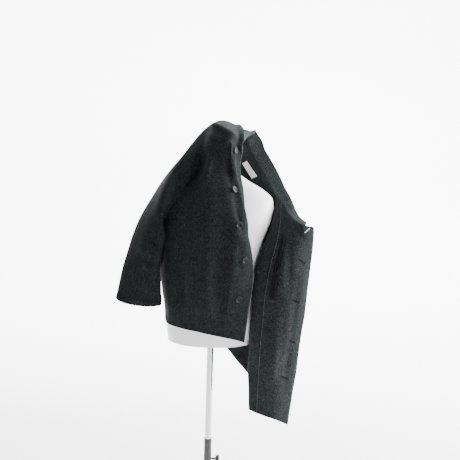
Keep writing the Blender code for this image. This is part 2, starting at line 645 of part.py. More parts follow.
# --- seams: how far every wall stops short of its neighbours ---------------------------
GRIDS = {"front_r": front_r, "front_l": front_l, "back": back, "collar": collar,
         "sleeve_r": sleeve_r, "sleeve_l": sleeve_l}
CUTS = {}
RING = sleeve_r.shape[1]
for k in range(SHOULDER_N + 1):
    team = [("front_r", "top", NECK_N + k), ("back", "top", SHOULDER_N - k)]
    if k == 0:
        team.append(("collar", "top", NECK_N - 1))
    seam(team)
for k in range(SHOULDER_NL + 1):
    team = [("front_l", "top", NECK_NL + k), ("back", "top", SHOULDER_N + BACK_NECK_N + k)]
    if k == 0:
        team.append(("collar", "top", NECK_N - 1 + BACK_NECK_N))
    seam(team)
for k in range(1, BACK_NECK_N):
    seam([("back", "top", SHOULDER_N + k), ("collar", "top", NECK_N - 1 + k)])
for k in range(1, NECK_N):
    seam([("front_r", "top", k), ("collar", "top", k - 1)])
for k in range(1, NECK_NL):
    seam([("front_l", "top", k), ("collar", "top", COLLAR_N + 1 - k)])
for front, sleeve_name, back_side in (("front_r", "sleeve_r", "left"), ("front_l", "sleeve_l", "right")):
    for k in range(1, ARM_N):
        tight = 6.0 if k >= ARM_N - 2 else 0.0          # the deep fold under the arm
        seam([(front, "right", k), (sleeve_name, "top", k)], tight)
        seam([("back", back_side, k), (sleeve_name, "top", RING - k)], tight)
    seam([(front, "right", 0), ("back", back_side, 0), (sleeve_name, "top", 0)])
    seam([(front, "right", ARM_N), ("back", back_side, ARM_N), (sleeve_name, "top", ARM_N)], 6.0)
    for k in range(ARM_N + 1, ARM_N + SIDE_N + 1):
        seam([(front, "right", k), ("back", back_side, k)])

walls = {}
for p, node, n, wrap in (("front_r", "jacket_front_right", n_fr, False), ("front_l", "jacket_front_left", n_fl, False),
                         ("back", "jacket_back", n_bk, False), ("collar", "jacket_collar", n_co, False),
                         ("sleeve_r", "jacket_sleeve_right", n_sr, True), ("sleeve_l", "jacket_sleeve_left", n_sl, True)):
    walls[p] = cut_back(p)
    wall(node, walls[p], n, CLOTH, melton[node.replace("jacket_", "")], wrap=wrap)

# --- dress form -----------------------------------------------------------------------
shell_white = material("form_white", (0.82, 0.82, 0.81), 0.45)
cap_white = material("cap_white", (0.80, 0.80, 0.79), 0.4)


def ring_points(a, b, x0, y0, q, n):
    out = []
    for k in range(n):
        t = 2 * math.pi * k / n
        c, s = math.cos(t), math.sin(t)
        out.append((x0 + a * math.copysign(abs(c) ** (2 / q), c), y0 + b * math.copysign(abs(s) ** (2 / q), s)))
    return out


def form_body():
    bm = bmesh.new()
    zs = [r[1] for r in FORM]
    cols = np.array([r[2:] for r in FORM], float)
    n = 36
    levels = sorted(set(list(np.linspace(zs[0], zs[-1], 22)) + [1300.0, 1388.0]))
    rings = []
    for z in levels:
        a, b, x0, y0, q = form_at(z)
        rings.append([bm.verts.new((x * 0.001, y * 0.001, z * 0.001))
                      for x, y in ring_points(a, b, x0, y0, q, n)])
    # slanting top under the cap
    top = []
    for x, y in ring_points(CAP["r"], CAP["r"], CAP["x"], CAP["y"], 2.0, n):
        top.append(bm.verts.new((x * 0.001, y * 0.001, (cap_z(x, y) - CAP["thick"] - SEAM) * 0.001)))
    rings.append(top)
    for r0, r1 in zip(rings, rings[1:]):
        for k in range(n):
            bm.faces.new((r0[k], r0[(k + 1) % n], r1[(k + 1) % n], r1[k]))
    bm.faces.new(rings[0][::-1])
    bm.faces.new(rings[-1])
    return from_bm(bm, "form_torso", shell_white)


def neck_cap():
    bm = bmesh.new()
    n = 36
    lo, hi, top = [], [], []
    r = CAP["r"] + CAP["over"]
    for k in range(n):
        t = 2 * math.pi * k / n
        x, y = CAP["x"] + r * math.cos(t), CAP["y"] + r * math.sin(t)
        lo.append(bm.verts.new((x * 0.001, y * 0.001, (cap_z(x, y) - CAP["thick"]) * 0.001)))
        hi.append(bm.verts.new((x * 0.001, y * 0.001, (cap_z(x, y) - 3.0) * 0.001)))
        x, y = CAP["x"] + (r - 3.0) * math.cos(t), CAP["y"] + (r - 3.0) * math.sin(t)
        top.append(bm.verts.new((x * 0.001, y * 0.001, cap_z(x, y) * 0.001)))
    for a, b in ((lo, hi), (hi, top)):
        for k in range(n):
            bm.faces.new((a[k], a[(k + 1) % n], b[(k + 1) % n], b[k]))
    bm.faces.new(lo[::-1])
    bm.faces.new(top)
    return from_bm(bm, "form_neck_cap", cap_white)


form_body()
neck_cap()

# --- pieces laid on the left front's inside ---------------------------------------------
def read_grid(g, uq, vq, u, v):
    """Point of a grid at surface place (u, v)."""
    cols = np.stack([[np.interp(u, uq, g[i, :, k]) for k in range(3)] for i in range(len(vq))])
    return np.array([np.interp(v, vq, cols[:, k]) for k in range(3)])


def laid(g, uq, vq, n, us, vs, off):
    """A small grid of places on a piece, moved out along its wall direction."""
    out, dirs = [], []
    for v in vs:
        row, drow = [], []
        for u in us:
            p = read_grid(g, uq, vq, u, v)
            d = read_grid(n, uq, vq, u, v)
            d = d / np.linalg.norm(d)
            row.append(p + d * off)
            drow.append(d)
        out.append(row)
        dirs.append(drow)
    return np.array(out), np.array(dirs)


# the facing follows the front's inside from the front edge to the line of its inner edge
FACING_COLS = 8
off = CLOTH / 2 + SEAM + FACING / 2
facing = walls["front_l"][:, :FACING_COLS] - (n_fl * spread(front_l, n_fl))[:, :FACING_COLS] * off
n_fa = -n_fl[:, :FACING_COLS]
facing = draw_in(facing, "top", 1.0)
facing = draw_in(facing, "bottom", 1.5)
facing = draw_in(facing, "left", 1.2)
wall("jacket_facing_left", facing, n_fa, FACING, melton["facing"], like=walls["front_l"][:, :FACING_COLS])

# pocket welt lying on the facing
WELT = {"u": (0.345, 0.420), "v": (0.095, 0.375), "thick": 2.2, "gap": 0.7}
off_w = CLOTH / 2 + SEAM + FACING + WELT["gap"] + WELT["thick"] / 2
g_w, n_w = laid(front_l, uq_l, vq_l, -n_fl, np.linspace(*WELT["u"], 3), np.linspace(*WELT["v"], 8), off_w)
wall("jacket_pocket_welt", g_w, n_w, WELT["thick"], melton["welt"])

# neck label: corners as seen from in front, laid on the back's inside
LABEL = [("upper left", 97, 1420), ("upper right", 113, 1429), ("lower left", 133, 1367), ("lower right", 152, 1376)]


def see_back(across, up):
    """Where the line of sight through a place first meets the back piece."""
    nu = back.shape[1]
    verts = [Vector(v) for v in back.reshape(-1, 3)]
    cells = [(i * nu + j, (i + 1) * nu + j, (i + 1) * nu + j + 1, i * nu + j + 1)
             for i in range(back.shape[0] - 1) for j in range(nu - 1)]
    tree = BVHTree.FromPolygons(verts, cells)
    eye = Vector(EYE)
    hit, n, cell, dist = tree.ray_cast(eye, (Vector(seen(across, up, 0)) - eye).normalized())
    r, c = divmod(cell, nu - 1)
    m = n_bk[r, c] + n_bk[r + 1, c] + n_bk[r, c + 1] + n_bk[r + 1, c + 1]
    return np.array(hit), -m / np.linalg.norm(m)


g_lab, n_lab = np.zeros((7, 3, 3)), np.zeros((7, 3, 3))
for i, f in enumerate(np.linspace(0, 1, 7)):
    for j, h in enumerate(np.linspace(0, 1, 3)):
        a = np.array(LABEL[0][1:]) * (1 - h) + np.array(LABEL[1][1:]) * h
        b = np.array(LABEL[2][1:]) * (1 - h) + np.array(LABEL[3][1:]) * h
        at = a * (1 - f) + b * f
        hit, m = see_back(at[0], at[1])
        g_lab[i, j], n_lab[i, j] = hit, m
n_lab[:] = n_lab.reshape(-1, 3).mean(axis=0)
n_lab /= np.linalg.norm(n_lab, axis=2, keepdims=True)
g_lab += n_lab * (CLOTH / 2 + 0.8 + 0.9)
wall("jacket_neck_label", g_lab, n_lab, 1.0, material("label_cream", (0.72, 0.71, 0.66), 0.8))

# --- buttons -------------------------------------------------------------------------------
horn = material("button_horn", (0.018, 0.018, 0.019), 0.35)
BUTTON_FIRST, BUTTON_PITCH = 44.0, 128.0
BUTTON_SECTION = [("under middle", 0.0, 0.0), ("under rim", 0.84, 0.0), ("side low", 1.0, 0.22),
                  ("side high", 1.0, 0.62), ("rim top", 0.88, 1.0), ("rim inside", 0.70, 0.86),
                  ("dish edge", 0.60, 0.50), ("dish middle", 0.0, 0.44)]


def button_place(down, in_from_edge):
    """Place on the right front a distance down the front edge and in from it."""
    rows = np.array([read_grid(front_r, uq_r, vq_r, 0.0, v) for v in np.linspace(0, 1, 120)])
    d = np.concatenate([[0], np.cumsum(np.linalg.norm(np.diff(rows, axis=0), axis=1))])
    v = float(np.interp(down, d, np.linspace(0, 1, 120)))
    us = np.linspace(0, 0.4, 80)
    row = np.array([read_grid(front_r, uq_r, vq_r, u, v) for u in us])
    e = np.concatenate([[0], np.cumsum(np.linalg.norm(np.diff(row, axis=0), axis=1))])
    u = float(np.interp(in_from_edge, e, us))
    p = read_grid(front_r, uq_r, vq_r, u, v)
    n = read_grid(n_fr, uq_r, vq_r, u, v)
    return p, n / np.linalg.norm(n)


def lift_clear(at, n):
    """Raise a button until its underside stands clear of the cloth under it."""
    nu = front_r.shape[1]
    tris = []
    for i in range(front_r.shape[0] - 1):
        for j in range(nu - 1):
            a = i * nu + j
            tris += [(a, a + nu, a + nu + 1), (a, a + nu + 1, a + 1), (a, a + nu, a + 1), (a + nu, a + nu + 1, a + 1)]
    tree = BVHTree.FromPolygons([Vector(v) for v in front_r.reshape(-1, 3)], tris)
    zaxis = Vector(n)
    xaxis = Vector((0, 0, 1)).cross(zaxis).normalized()
    yaxis = zaxis.cross(xaxis)
    lift = CLOTH / 2 + 1.4
    while lift < 12:
        low = min(tree.find_nearest(Vector(at) + zaxis * lift + (xaxis * math.cos(t) + yaxis * math.sin(t)) * r)[3]
                  for r in (0.0, BUTTON_R * 0.6, BUTTON_R) for t in (math.pi * k / 6 for k in range(12)))
        if low > CLOTH / 2 + 0.8:
            return lift
        lift += 0.4
    return lift


def button(name, at, n, lift):
    zaxis = Vector(n)
    xaxis = Vector((0, 0, 1)).cross(zaxis).normalized()
    yaxis = zaxis.cross(xaxis)
    seg = 16
    bm = bmesh.new()
    rings = []
    base = Vector(at) + zaxis * lift
    for _, rr, h in BUTTON_SECTION:
        if rr == 0.0:
            rings.append([bm.verts.new((base + zaxis * h * BUTTON_T) * 0.001)])
        else:
            rings.append([bm.verts.new((base + zaxis * h * BUTTON_T + (xaxis * math.cos(t) + yaxis * math.sin(t))
                                        * rr * BUTTON_R) * 0.001)
                          for t in (2 * math.pi * k / seg for k in range(seg))])
    for a, b in zip(rings, rings[1:]):
        for k in range(seg):
            q = (k + 1) % seg
            if len(a) == 1:
                bm.faces.new((a[0], b[q], b[k]))
            elif len(b) == 1:
                bm.faces.new((a[k], a[q], b[0]))
            else:
                bm.faces.new((a[k], a[q], b[q], b[k]))
    from_bm(bm, name, horn)


for k in range(5):
    at, n = button_place(BUTTON_FIRST + k * BUTTON_PITCH, BUTTON_FROM_EDGE[k])
    button("jacket_button_%d" % (k + 1), at, n, lift_clear(at, n))

# --- stand -----------------------------------------------------------------------------------
chrome = material("pole_chrome", (0.62, 0.62, 0.63), 0.12, 1.0)
black = material("stand_black", (0.02, 0.02, 0.021), 0.45)
FACETS = 40
FORM_FLOOR = FORM[0][1]


def turned(name, rows, mat, centre=(0.0, 0.0), closed_ends=True):
    """A body of revolution; rows are radius and height."""
    bm = bmesh.new()
    rings = [[bm.verts.new(((centre[0] + r * math.cos(t)) * 0.001, (centre[1] + r * math.sin(t)) * 0.001, z * 0.001))
              for t in (2 * math.pi * (k + 0.5) / FACETS for k in range(FACETS))] for r, z in rows]
    pairs = list(zip(rings, rings[1:]))
    if not closed_ends:
        pairs.append((rings[-1], rings[0]))
    for a, b in pairs:
        for k in range(FACETS):
            q = (k + 1) % FACETS
            bm.faces.new((a[k], a[q], b[q], b[k]))
    if closed_ends:
        bm.faces.new(rings[0][::-1])
        bm.faces.new(rings[-1])
    return from_bm(bm, name, mat)


turned("stand_pole", [(POLE_R - 1, POLE_FOOT), (POLE_R, POLE_FOOT + 1), (POLE_R, FORM_FLOOR - 1.3),
                      (POLE_R - 1, FORM_FLOOR - SEAM)], chrome)
turned("stand_tube", [(TUBE_R, BASE_H + SEAM), (TUBE_R, TUBE_TOP - 1), (TUBE_R - 0.6, TUBE_TOP),
                      (TUBE_BORE + 0.4, TUBE_TOP), (TUBE_BORE, TUBE_TOP - 0.8), (TUBE_BORE, BASE_H + SEAM)],
       black, closed_ends=False)
turned("stand_base", [(BASE_R - 1.5, 0), (BASE_R, 1.5), (BASE_R, BASE_H - 3), (BASE_R - 3, BASE_H),
                      (1.0, BASE_H)], black)


def clamp_knob():
    """A plain knob on the tube's left, away from the front, its stem's end shaped to the tube."""
    bm = bmesh.new()
    z = 300.0
    rows = [(4.0, TUBE_R + 0.35), (4.0, 30.0), (13.0, 31.0), (15.0, 33.5), (15.0, 42.0), (13.0, 44.5)]
    rings = []
    for r, x in rows:
        ring = []
        for k in range(24):
            t = 2 * math.pi * k / 24
            y, h = r * math.cos(t), r * math.sin(t)
            ring.append(bm.verts.new((x * 0.001, y * 0.001, (z + h) * 0.001)))
        rings.append(ring)
    for a, b in zip(rings, rings[1:]):
        for k in range(24):
            q = (k + 1) % 24
            bm.faces.new((a[k], a[q], b[q], b[k]))
    bm.faces.new(rings[0][::-1])
    bm.faces.new(rings[-1])
    return from_bm(bm, "stand_clamp_knob", black)


clamp_knob()
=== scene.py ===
# Looks of the chore jacket on its dress form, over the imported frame.
import bpy
import bmesh
import math
import numpy as np
from mathutils import Vector, Matrix
from mathutils.bvhtree import BVHTree
from mathutils.kdtree import KDTree


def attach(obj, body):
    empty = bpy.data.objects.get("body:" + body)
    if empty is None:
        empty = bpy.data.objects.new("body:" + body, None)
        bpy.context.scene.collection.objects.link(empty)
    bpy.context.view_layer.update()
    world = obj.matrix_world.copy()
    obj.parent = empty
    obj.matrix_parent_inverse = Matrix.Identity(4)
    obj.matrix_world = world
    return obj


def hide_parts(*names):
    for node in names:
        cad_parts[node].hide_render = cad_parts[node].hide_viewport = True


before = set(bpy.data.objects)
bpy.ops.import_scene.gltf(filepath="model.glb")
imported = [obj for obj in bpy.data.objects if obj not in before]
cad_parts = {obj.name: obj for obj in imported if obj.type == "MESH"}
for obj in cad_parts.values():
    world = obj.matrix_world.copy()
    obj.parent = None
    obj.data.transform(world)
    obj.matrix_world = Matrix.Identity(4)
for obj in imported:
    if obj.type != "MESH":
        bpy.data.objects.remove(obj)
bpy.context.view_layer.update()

# ---------------------------------------------------------------- driving sizes (mm)
EYE = (60.0, -2260.0, 1530.0)      # where the front outline is seen from
CLOTH = 2.6                        # melton wall
FACING = 2.0                       # facing wall
SEAM = 0.3                         # gap between pieces at a seam
CLEAR = 5.0                        # cloth's middle to the form, at least
BUTTON_FROM_EDGE = (44.0, 56.0, 56.0, 45.0, 44.0)   # 2 and 3 lie behind the fold of the edge
BUTTON_R, BUTTON_T = 11.5, 3.6
COLLAR_ENDS = 35.0                 # collar stops this short of the front edges
POLE_R = 12.5
TUBE_R, TUBE_BORE = 14.2, 12.58
TUBE_TOP, POLE_FOOT = 383.0, 190.0
BASE_R, BASE_H = 170.0, 8.0


def seen(across, up, ahead):
    k = (-EYE[1] - ahead) / -EYE[1]
    return np.array([EYE[0] + (across - EYE[0]) * k, -ahead, EYE[2] + (up - EYE[2]) * k])


def real(x, y, z):
    return np.array([float(x), float(y), float(z)])


# ---------------------------------------------------------------- dress form
# z, half width, half depth, middle's x and y, squareness of the section
FORM = [
    ("bottom edge", 776, 157, 112,  0,   2, 2.3),
    ("hip",         850, 163, 118,  0,   2, 2.3),
    ("waist",       950, 155, 108,  0,   3, 2.3),
    ("ribs",       1050, 160, 108,  1,   3, 2.35),
    ("chest",      1150, 180, 114,  3,   2, 2.4),
    ("underarm",   1215, 200, 113,  5,   2, 2.3),
    ("arm end",    1265, 209, 100,  6,   4, 2.15),
    ("tip",        1300, 203,  82,  6,   6, 2.0),
    ("slope low",  1330, 166,  72,  7,   6, 2.0),
    ("slope high", 1358, 112,  62,  9,   4, 2.0),
    ("neck root",  1388,  66,  56, 12,   2, 2.0),
    ("neck low",   1420,  50,  50, 14,   0, 2.0),
    ("neck top",   1500,  35,  35, 23,  -8, 2.0),
]
CAP = {"x": 26.0, "y": -10.0, "r": 35.0, "over": 1.5, "middle": 1539.0, "thick": 9.0,
       "fall_ahead": 0.34, "fall_right": 0.06}


def nat_spline(xs, ys, xq):
    """Natural cubic spline through rows ys at xs, read at xq."""
    xs = np.asarray(xs, float)
    ys = np.asarray(ys, float)
    xq = np.asarray(xq, float)
    n = len(xs)
    h = np.diff(xs)
    A = np.zeros((n, n))
    r = np.zeros_like(ys)
    A[0, 0] = A[-1, -1] = 1.0
    for i in range(1, n - 1):
        A[i, i - 1] = h[i - 1]
        A[i, i] = 2 * (h[i - 1] + h[i])
        A[i, i + 1] = h[i]
        r[i] = 6 * ((ys[i + 1] - ys[i]) / h[i] - (ys[i] - ys[i - 1]) / h[i - 1])
    m = np.linalg.solve(A, r.reshape(n, -1)).reshape(ys.shape)
    k = np.clip(np.searchsorted(xs, xq, side="right") - 1, 0, n - 2)
    t = xq - xs[k]
    hk = h[k]
    sh = (-1,) + (1,) * (ys.ndim - 1)
    t, hk = t.reshape(sh), hk.reshape(sh)
    a, b, ma, mb = ys[k], ys[k + 1], m[k], m[k + 1]
    return (ma * (hk - t) ** 3 + mb * t ** 3) / (6 * hk) + (a / hk - ma * hk / 6) * (hk - t) \
        + (b / hk - mb * hk / 6) * t


def form_at(z):
    zs = [r[1] for r in FORM]
    cols = np.array([r[2:] for r in FORM], float)
    z = min(max(z, zs[0]), zs[-1])
    return [float(np.interp(z, zs, cols[:, i])) for i in range(5)]


def cap_z(x, y):
    """Height of the neck cap's slanting top."""
    return CAP["middle"] + CAP["fall_ahead"] * (y - CAP["y"]) - CAP["fall_right"] * (x - CAP["x"])


def clear_of_form(p, gap=CLEAR):
    """Push a cloth point out of the form, level, so that it stands at least gap away."""
    x, y, z = p
    if z < FORM[0][1] - 20:
        return p
    if z > 1495:
        dx, dy = x - CAP["x"], y - CAP["y"]
        top = cap_z(x, y) + gap
        rr = math.hypot(dx, dy)
        lim = CAP["r"] + CAP["over"] + gap
        if rr < lim and z < top:
            if top - z < lim - rr:
                return np.array([x, y, top])
            s = lim / max(rr, 1e-6)
            return np.array([CAP["x"] + dx * s, CAP["y"] + dy * s, z])
        return p
    a, b, x0, y0, q = form_at(z)
    a, b = a + gap, b + gap
    dx, dy = x - x0, y - y0
    f = (abs(dx) / a) ** q + (abs(dy) / b) ** q
    if f >= 1.0:
        return p
    s = (1.0 / max(f, 1e-9)) ** (1.0 / q)
    return np.array([x0 + dx * s, y0 + dy * s, z])


# ---------------------------------------------------------------- cloth lines
# Seams that two pieces share. Every line runs from its top or neck end.
#                 across    up  ahead
SHOULDER_R = [("neck point", seen(104, 1526, -80)),
              ("behind cap", seen(62, 1556, -42)),
              ("over cap",   seen(15, 1567, -22)),
              ("cap's left", seen(-28, 1545, -12)),
              ("tip",        seen(-81, 1486, -4))]
#                            x    y     z
SHOULDER_L = [("neck point", seen(218, 1314, -20)),
              ("half way",   real(236, 52, 1240)),
              ("tip",        real(244, 84, 1158))]
NECK_BACK = [("right neck point", SHOULDER_R[0][1]),
             ("right",            seen(122, 1476, -84)),
             ("centre back",      seen(152, 1424, -72)),
             ("left",             seen(186, 1370, -44)),
             ("left neck point",  SHOULDER_L[0][1])]
NECK_FRONT_R = [("corner",     seen(93, 1487, 58)),
                ("collar end", seen(99, 1497, 26)),
                ("side",       seen(106, 1507, -32)),
                ("neck point", SHOULDER_R[0][1])]
NECK_FRONT_L = [("corner",     seen(360, 1200, 70)),
                ("collar end", seen(322, 1207, 84)),
                ("front",      seen(297, 1218, 74)),
                ("side",       seen(252, 1270, 30)),
                ("neck point", SHOULDER_L[0][1])]

# ---------------------------------------------------------------- right front, outside shows
# rows: one per level; each guide runs from the neckline or shoulder down to the hem
ROWS_R = [0.0, 0.07, 0.17, 0.29, 0.42, 0.57, 0.77, 1.0]      # 4 = underarm
UNDERARM_R = 4
GUIDES_FR = [  # name, place across the piece, then (across, up, ahead) a row
    ("edge", 0.00, [(93, 1487, 58), (95, 1458, 36), (92, 1412, 28), (106, 1325, 62),
                    (117, 1212, 104), (146, 1062, 112), (141, 920, 128), (125, 762, 134)]),
    ("button line", 0.14, [(99, 1502, 6), (66, 1470, 62), (67, 1412, 64), (75, 1322, 98),
                           (106, 1210, 140), (121, 1066, 142), (97, 916, 142), (82, 772, 140)]),
    ("neck point", 0.30, [(104, 1526, -80), (66, 1512, 66), (52, 1420, 74), (58, 1325, 112),
                          (66, 1215, 150), (66, 1075, 156), (52, 916, 150), (38, 780, 144)]),
    ("chest ridge", 0.50, [(15, 1567, -22), (14, 1534, 68), (8, 1425, 74), (2, 1325, 112),
                           (0, 1220, 148), (-4, 1080, 154), (-14, 920, 150), (-26, 792, 142)]),
    ("chest fall", 0.68, [(-28, 1545, -12), (-26, 1520, 48), (-34, 1425, 60), (-48, 1325, 92),
                          (-66, 1222, 124), (-78, 1085, 136), (-84, 920, 132), (-84, 804, 126)]),
    ("valley", 0.80, [(-46, 1528, -8), (-42, 1490, 30), (-58, 1425, 38), (-82, 1325, 54),
                      (-112, 1222, 84), (-130, 1090, 96), (-140, 930, 94), (-128, 815, 94)]),
    ("shoulder ridge", 0.91, [(-66, 1506, -6), (-66, 1470, 30), (-82, 1415, 50), (-104, 1322, 66),
                              (-140, 1212, 76), (-164, 1095, 58), (-165, 935, 54), (-151, 828, 52)]),
    ("side", 1.00, [(-81, 1486, -4), (-98, 1448, 24), (-122, 1400, 48), (-132, 1308, 72),
                    (-172, 1196, 58), (-188, 1085, 22), (-177, 945, 0), (-161, 843, 2)]),
]

# ---------------------------------------------------------------- left front, inside shows
ROWS_L = [0.0, 0.10, 0.24, 0.41, 0.59, 0.79, 1.0]            # 3 = underarm
UNDERARM_L = 3
GUIDES_FL = [
    ("edge", 0.00, [(360, 1200, 70), (359, 1130, 72), (351, 1029, 76), (341, 892, 80),
                    (328, 755, 84), (312, 598, 88), (297, 445, 90)]),
    ("collar end", 0.12, [(322, 1207, 84), (320, 1132, 94), (312, 1026, 104), (303, 892, 108),
                          (290, 758, 112), (272, 604, 114), (260, 460, 114)]),
    ("pocket", 0.30, [(290, 1224, 72), (276, 1140, 94), (258, 1030, 112), (250, 900, 118),
                      (238, 764, 120), (224, 612, 120), (216, 474, 118)]),
    ("facing edge", 0.47, [(252, 1270, 30), (236, 1182, 66), (206, 1050, 96), (188, 912, 104),
                           (181, 772, 106), (179, 622, 104), (178, 488, 102)]),
    ("fold", 0.60, [(218, 1314, -20), (213, 1228, 28), (172, 1098, 62), (148, 950, 76),
                    (145, 792, 78), (145, 634, 78), (152, 500, 78)]),
    ("return", 0.76, None),
    ("side", 1.00, None),
]
# the hidden part of the left front, in true places: x, y, z
RETURN_L = [(236, 52, 1240), (242, 6, 1160), (216, -12, 1058), (188, -14, 926),
            (180, -14, 786), (176, -16, 634), (178, -20, 502)]
SIDE_L = [(244, 84, 1158), (262, 44, 1092), (256, 30, 1006), (214, 52, 922),
          (200, 56, 784), (196, 56, 636), (196, 54, 494)]

# ---------------------------------------------------------------- back
ROWS_B = [0.0, 0.12, 0.27, 0.42, 0.60, 0.80, 1.0]
# true places x, y, z a row; the first and last guides end at the side seams
ARMHOLE_BACK_R = [(-100, 44, 1436), (-138, 68, 1372), (-188, 68, 1298), (-220, 16, 1228), (-208, -28, 1200)]
ARMHOLE_BACK_L = [(240, 104, 1086), (226, 104, 1006)]
GUIDES_B = [
    ("right side", 0.14, [None, (-66, 62, 1464), (-142, 94, 1318), (-212, 18, 1176),
                          (-208, 46, 1108), (-196, 68, 1030), (-174, 88, 946)]),
    ("right shoulder", 0.30, [None, (8, 76, 1490), (-60, 112, 1350), (-164, 94, 1190),
                              (-162, 106, 1090), (-138, 118, 980), (-100, 124, 866)]),
    ("right neck", 0.45, [None, (66, 92, 1444), (0, 120, 1335), (-78, 130, 1195),
                          (-70, 138, 1060), (-46, 142, 920), (-14, 138, 770)]),
    ("centre back", 0.58, [None, (112, 100, 1350), (66, 126, 1262), (20, 142, 1160),
                           (22, 146, 1020), (34, 148, 870), (52, 142, 700)]),
    ("left neck", 0.70, [None, (192, 76, 1226), (160, 112, 1140), (124, 136, 1050),
                         (112, 142, 920), (108, 144, 780), (112, 138, 628)]),
    ("left shoulder", 0.85, [None, (232, 90, 1150), (218, 114, 1050), (200, 124, 956),
                             (184, 124, 830), (180, 120, 690), (182, 112, 550)]),
]

# ---------------------------------------------------------------- sleeves
# t, outer line, inner line, front and back of the ring measured from its middle
SLEEVE_R = [
    ("cap",     0.16, seen(-132, 1416, 6), seen(-160, 1174, 88), (-28, -60, -8), (-78, 121, -52)),
    ("upper",   0.34, seen(-217, 1294, 6), seen(-178, 1126, 84), (0, -56, 0), (-44, 88, -26)),
    ("elbow",   0.56, seen(-287, 1160, 8), seen(-188, 1062, 70), (0, -46, 0), (-14, 72, 0)),
    ("lower",   0.78, seen(-328, 1020, 12), seen(-182, 986, 54), (0, -34, -5), (0, 50, 0)),
    ("cuff",    1.00, seen(-349, 918, 14), seen(-179, 901, 38), (0, -26, -13), (0, 30, 0)),
]
SLEEVE_L = [
    ("cap",     0.16, real(290, 66, 1092), real(230, 44, 880), (26, -38, 0), (8, 44, 0)),
    ("upper",   0.34, real(324, 40, 984), real(234, 26, 842), (4, -44, 0), (0, 44, 0)),
    ("elbow",   0.56, real(334, 8, 846), real(230, 20, 764), (0, -46, 0), (0, 48, 0)),
    ("lower",   0.78, real(322, -14, 700), real(228, 20, 664), (0, -46, 0), (0, 44, 0)),
    ("cuff",    1.00, real(304, -24, 548), real(224, 20, 556), (0, -44, -6), (0, 42, 0)),
]

# ---------------------------------------------------------------- collar
# place along the neckline, rise: x, y, z of the collar's top edge from its seam
COLLAR = [("right end", 0.0, (-3, 8, 42)), ("right side", 0.08, (15, 12, 29)),
          ("right point", 0.16, (33, 13, 12)), ("right back", 0.26, (38, 8, 17)),
          ("centre back", 0.50, (42, 6, 18)), ("left back", 0.66, (36, 10, 20)),
          ("left side", 0.84, (25, 19, 17)), ("left end", 1.0, (7, 16, 8))]


# ---------------------------------------------------------------- surfaces
def line(table, n):
    """n + 1 evenly spaced points along a smooth line through a table's places."""
    pts = np.array([r[1] if isinstance(r, tuple) and isinstance(r[0], str) else r for r in table])
    d = np.concatenate([[0], np.cumsum(np.linalg.norm(np.diff(pts, axis=0), axis=1))])
    fine = nat_spline(d, pts, np.linspace(0, d[-1], 400))
    s = np.concatenate([[0], np.cumsum(np.linalg.norm(np.diff(fine, axis=0), axis=1))])
    q = np.linspace(0, s[-1], n + 1)
    return np.stack([np.interp(q, s, fine[:, i]) for i in range(3)], axis=1)


def patch(us, vs, net, uq, vq):
    """Smooth surface through a net of guides: net[row][guide] -> grid[vq][uq]."""
    net = np.asarray(net, float)
    rows = nat_spline(vs, net, vq)                       # (nv, guides, 3)
    return np.stack([nat_spline(us, rows[i], uq) for i in range(len(vq))])


def snap_edge(grid, side, pts):
    """Move one edge of a grid to given points; the change fades over the rows next to it."""
    g = grid.copy()
    fade = [1.0, 0.55, 0.2, 0.05]
    for k, f in enumerate(fade):
        if side == "top" and k < g.shape[0]:
            g[k] += (pts - grid[0]) * f
        elif side == "left" and k < g.shape[1]:
            g[:, k] += (pts - grid[:, 0]) * f
        elif side == "right" and k < g.shape[1]:
            g[:, -1 - k] += (pts - grid[:, -1]) * f
    return g


def relax(g, side, columns, rows, turns=8):
    """Even out the cells beside one edge; the edges themselves stay."""
    g = g.copy()
    nv, nu = g.shape[:2]
    for _ in range(turns):
        new = g.copy()
        for i in range(1, min(rows, nv - 1)):
            for c in range(1, columns):
                j = c if side == "left" else nu - 1 - c
                w = 0.5 * (1 - c / columns) * min(1.0, (rows - i) / 4)
                mean = (g[i - 1, j] + g[i + 1, j] + g[i, j - 1] + g[i, j + 1]) / 4
                new[i, j] = g[i, j] * (1 - w) + mean * w
        g = new
    return g


def normals(g, wrap=False):
    """Unit normals of a grid (rows down, columns across), each from the cells round it."""
    q = np.concatenate([g, g[:, :1]], axis=1) if wrap else g
    cell = np.cross(q[1:, 1:] - q[:-1, :-1], q[1:, :-1] - q[:-1, 1:])
    n = np.zeros_like(q)
    for a in (0, 1):
        for b in (0, 1):
            n[a:len(q) - 1 + a, b:q.shape[1] - 1 + b] += cell
    if wrap:
        n[:, 0] += n[:, -1]
        n = n[:, :-1]
    return n / np.maximum(np.linalg.norm(n, axis=2, keepdims=True), 1e-9)


def push_clear(g, gap=CLEAR):
    out = g.copy()
    for i in range(g.shape[0]):
        for j in range(g.shape[1]):
            out[i, j] = clear_of_form(g[i, j], gap)
    return out


def split(rows, first, second, at):
    """Row places with first steps above row number at, second steps below it."""
    a = np.linspace(0, rows[at], first + 1)
    b = np.linspace(rows[at], 1.0, second + 1)[1:]
    return np.concatenate([a, b])


def draw_in(g, side, amount):
    """Draw one edge of a grid in along the surface."""
    g = g.copy()
    at, nxt = {"top": (np.s_[0], np.s_[1]), "bottom": (np.s_[-1], np.s_[-2]),
               "left": (np.s_[:, 0], np.s_[:, 1]), "right": (np.s_[:, -1], np.s_[:, -2])}[side]
    d = g[nxt] - g[at]
    g[at] = g[at] + d / np.maximum(np.linalg.norm(d, axis=-1, keepdims=True), 1e-9) * amount
    return g


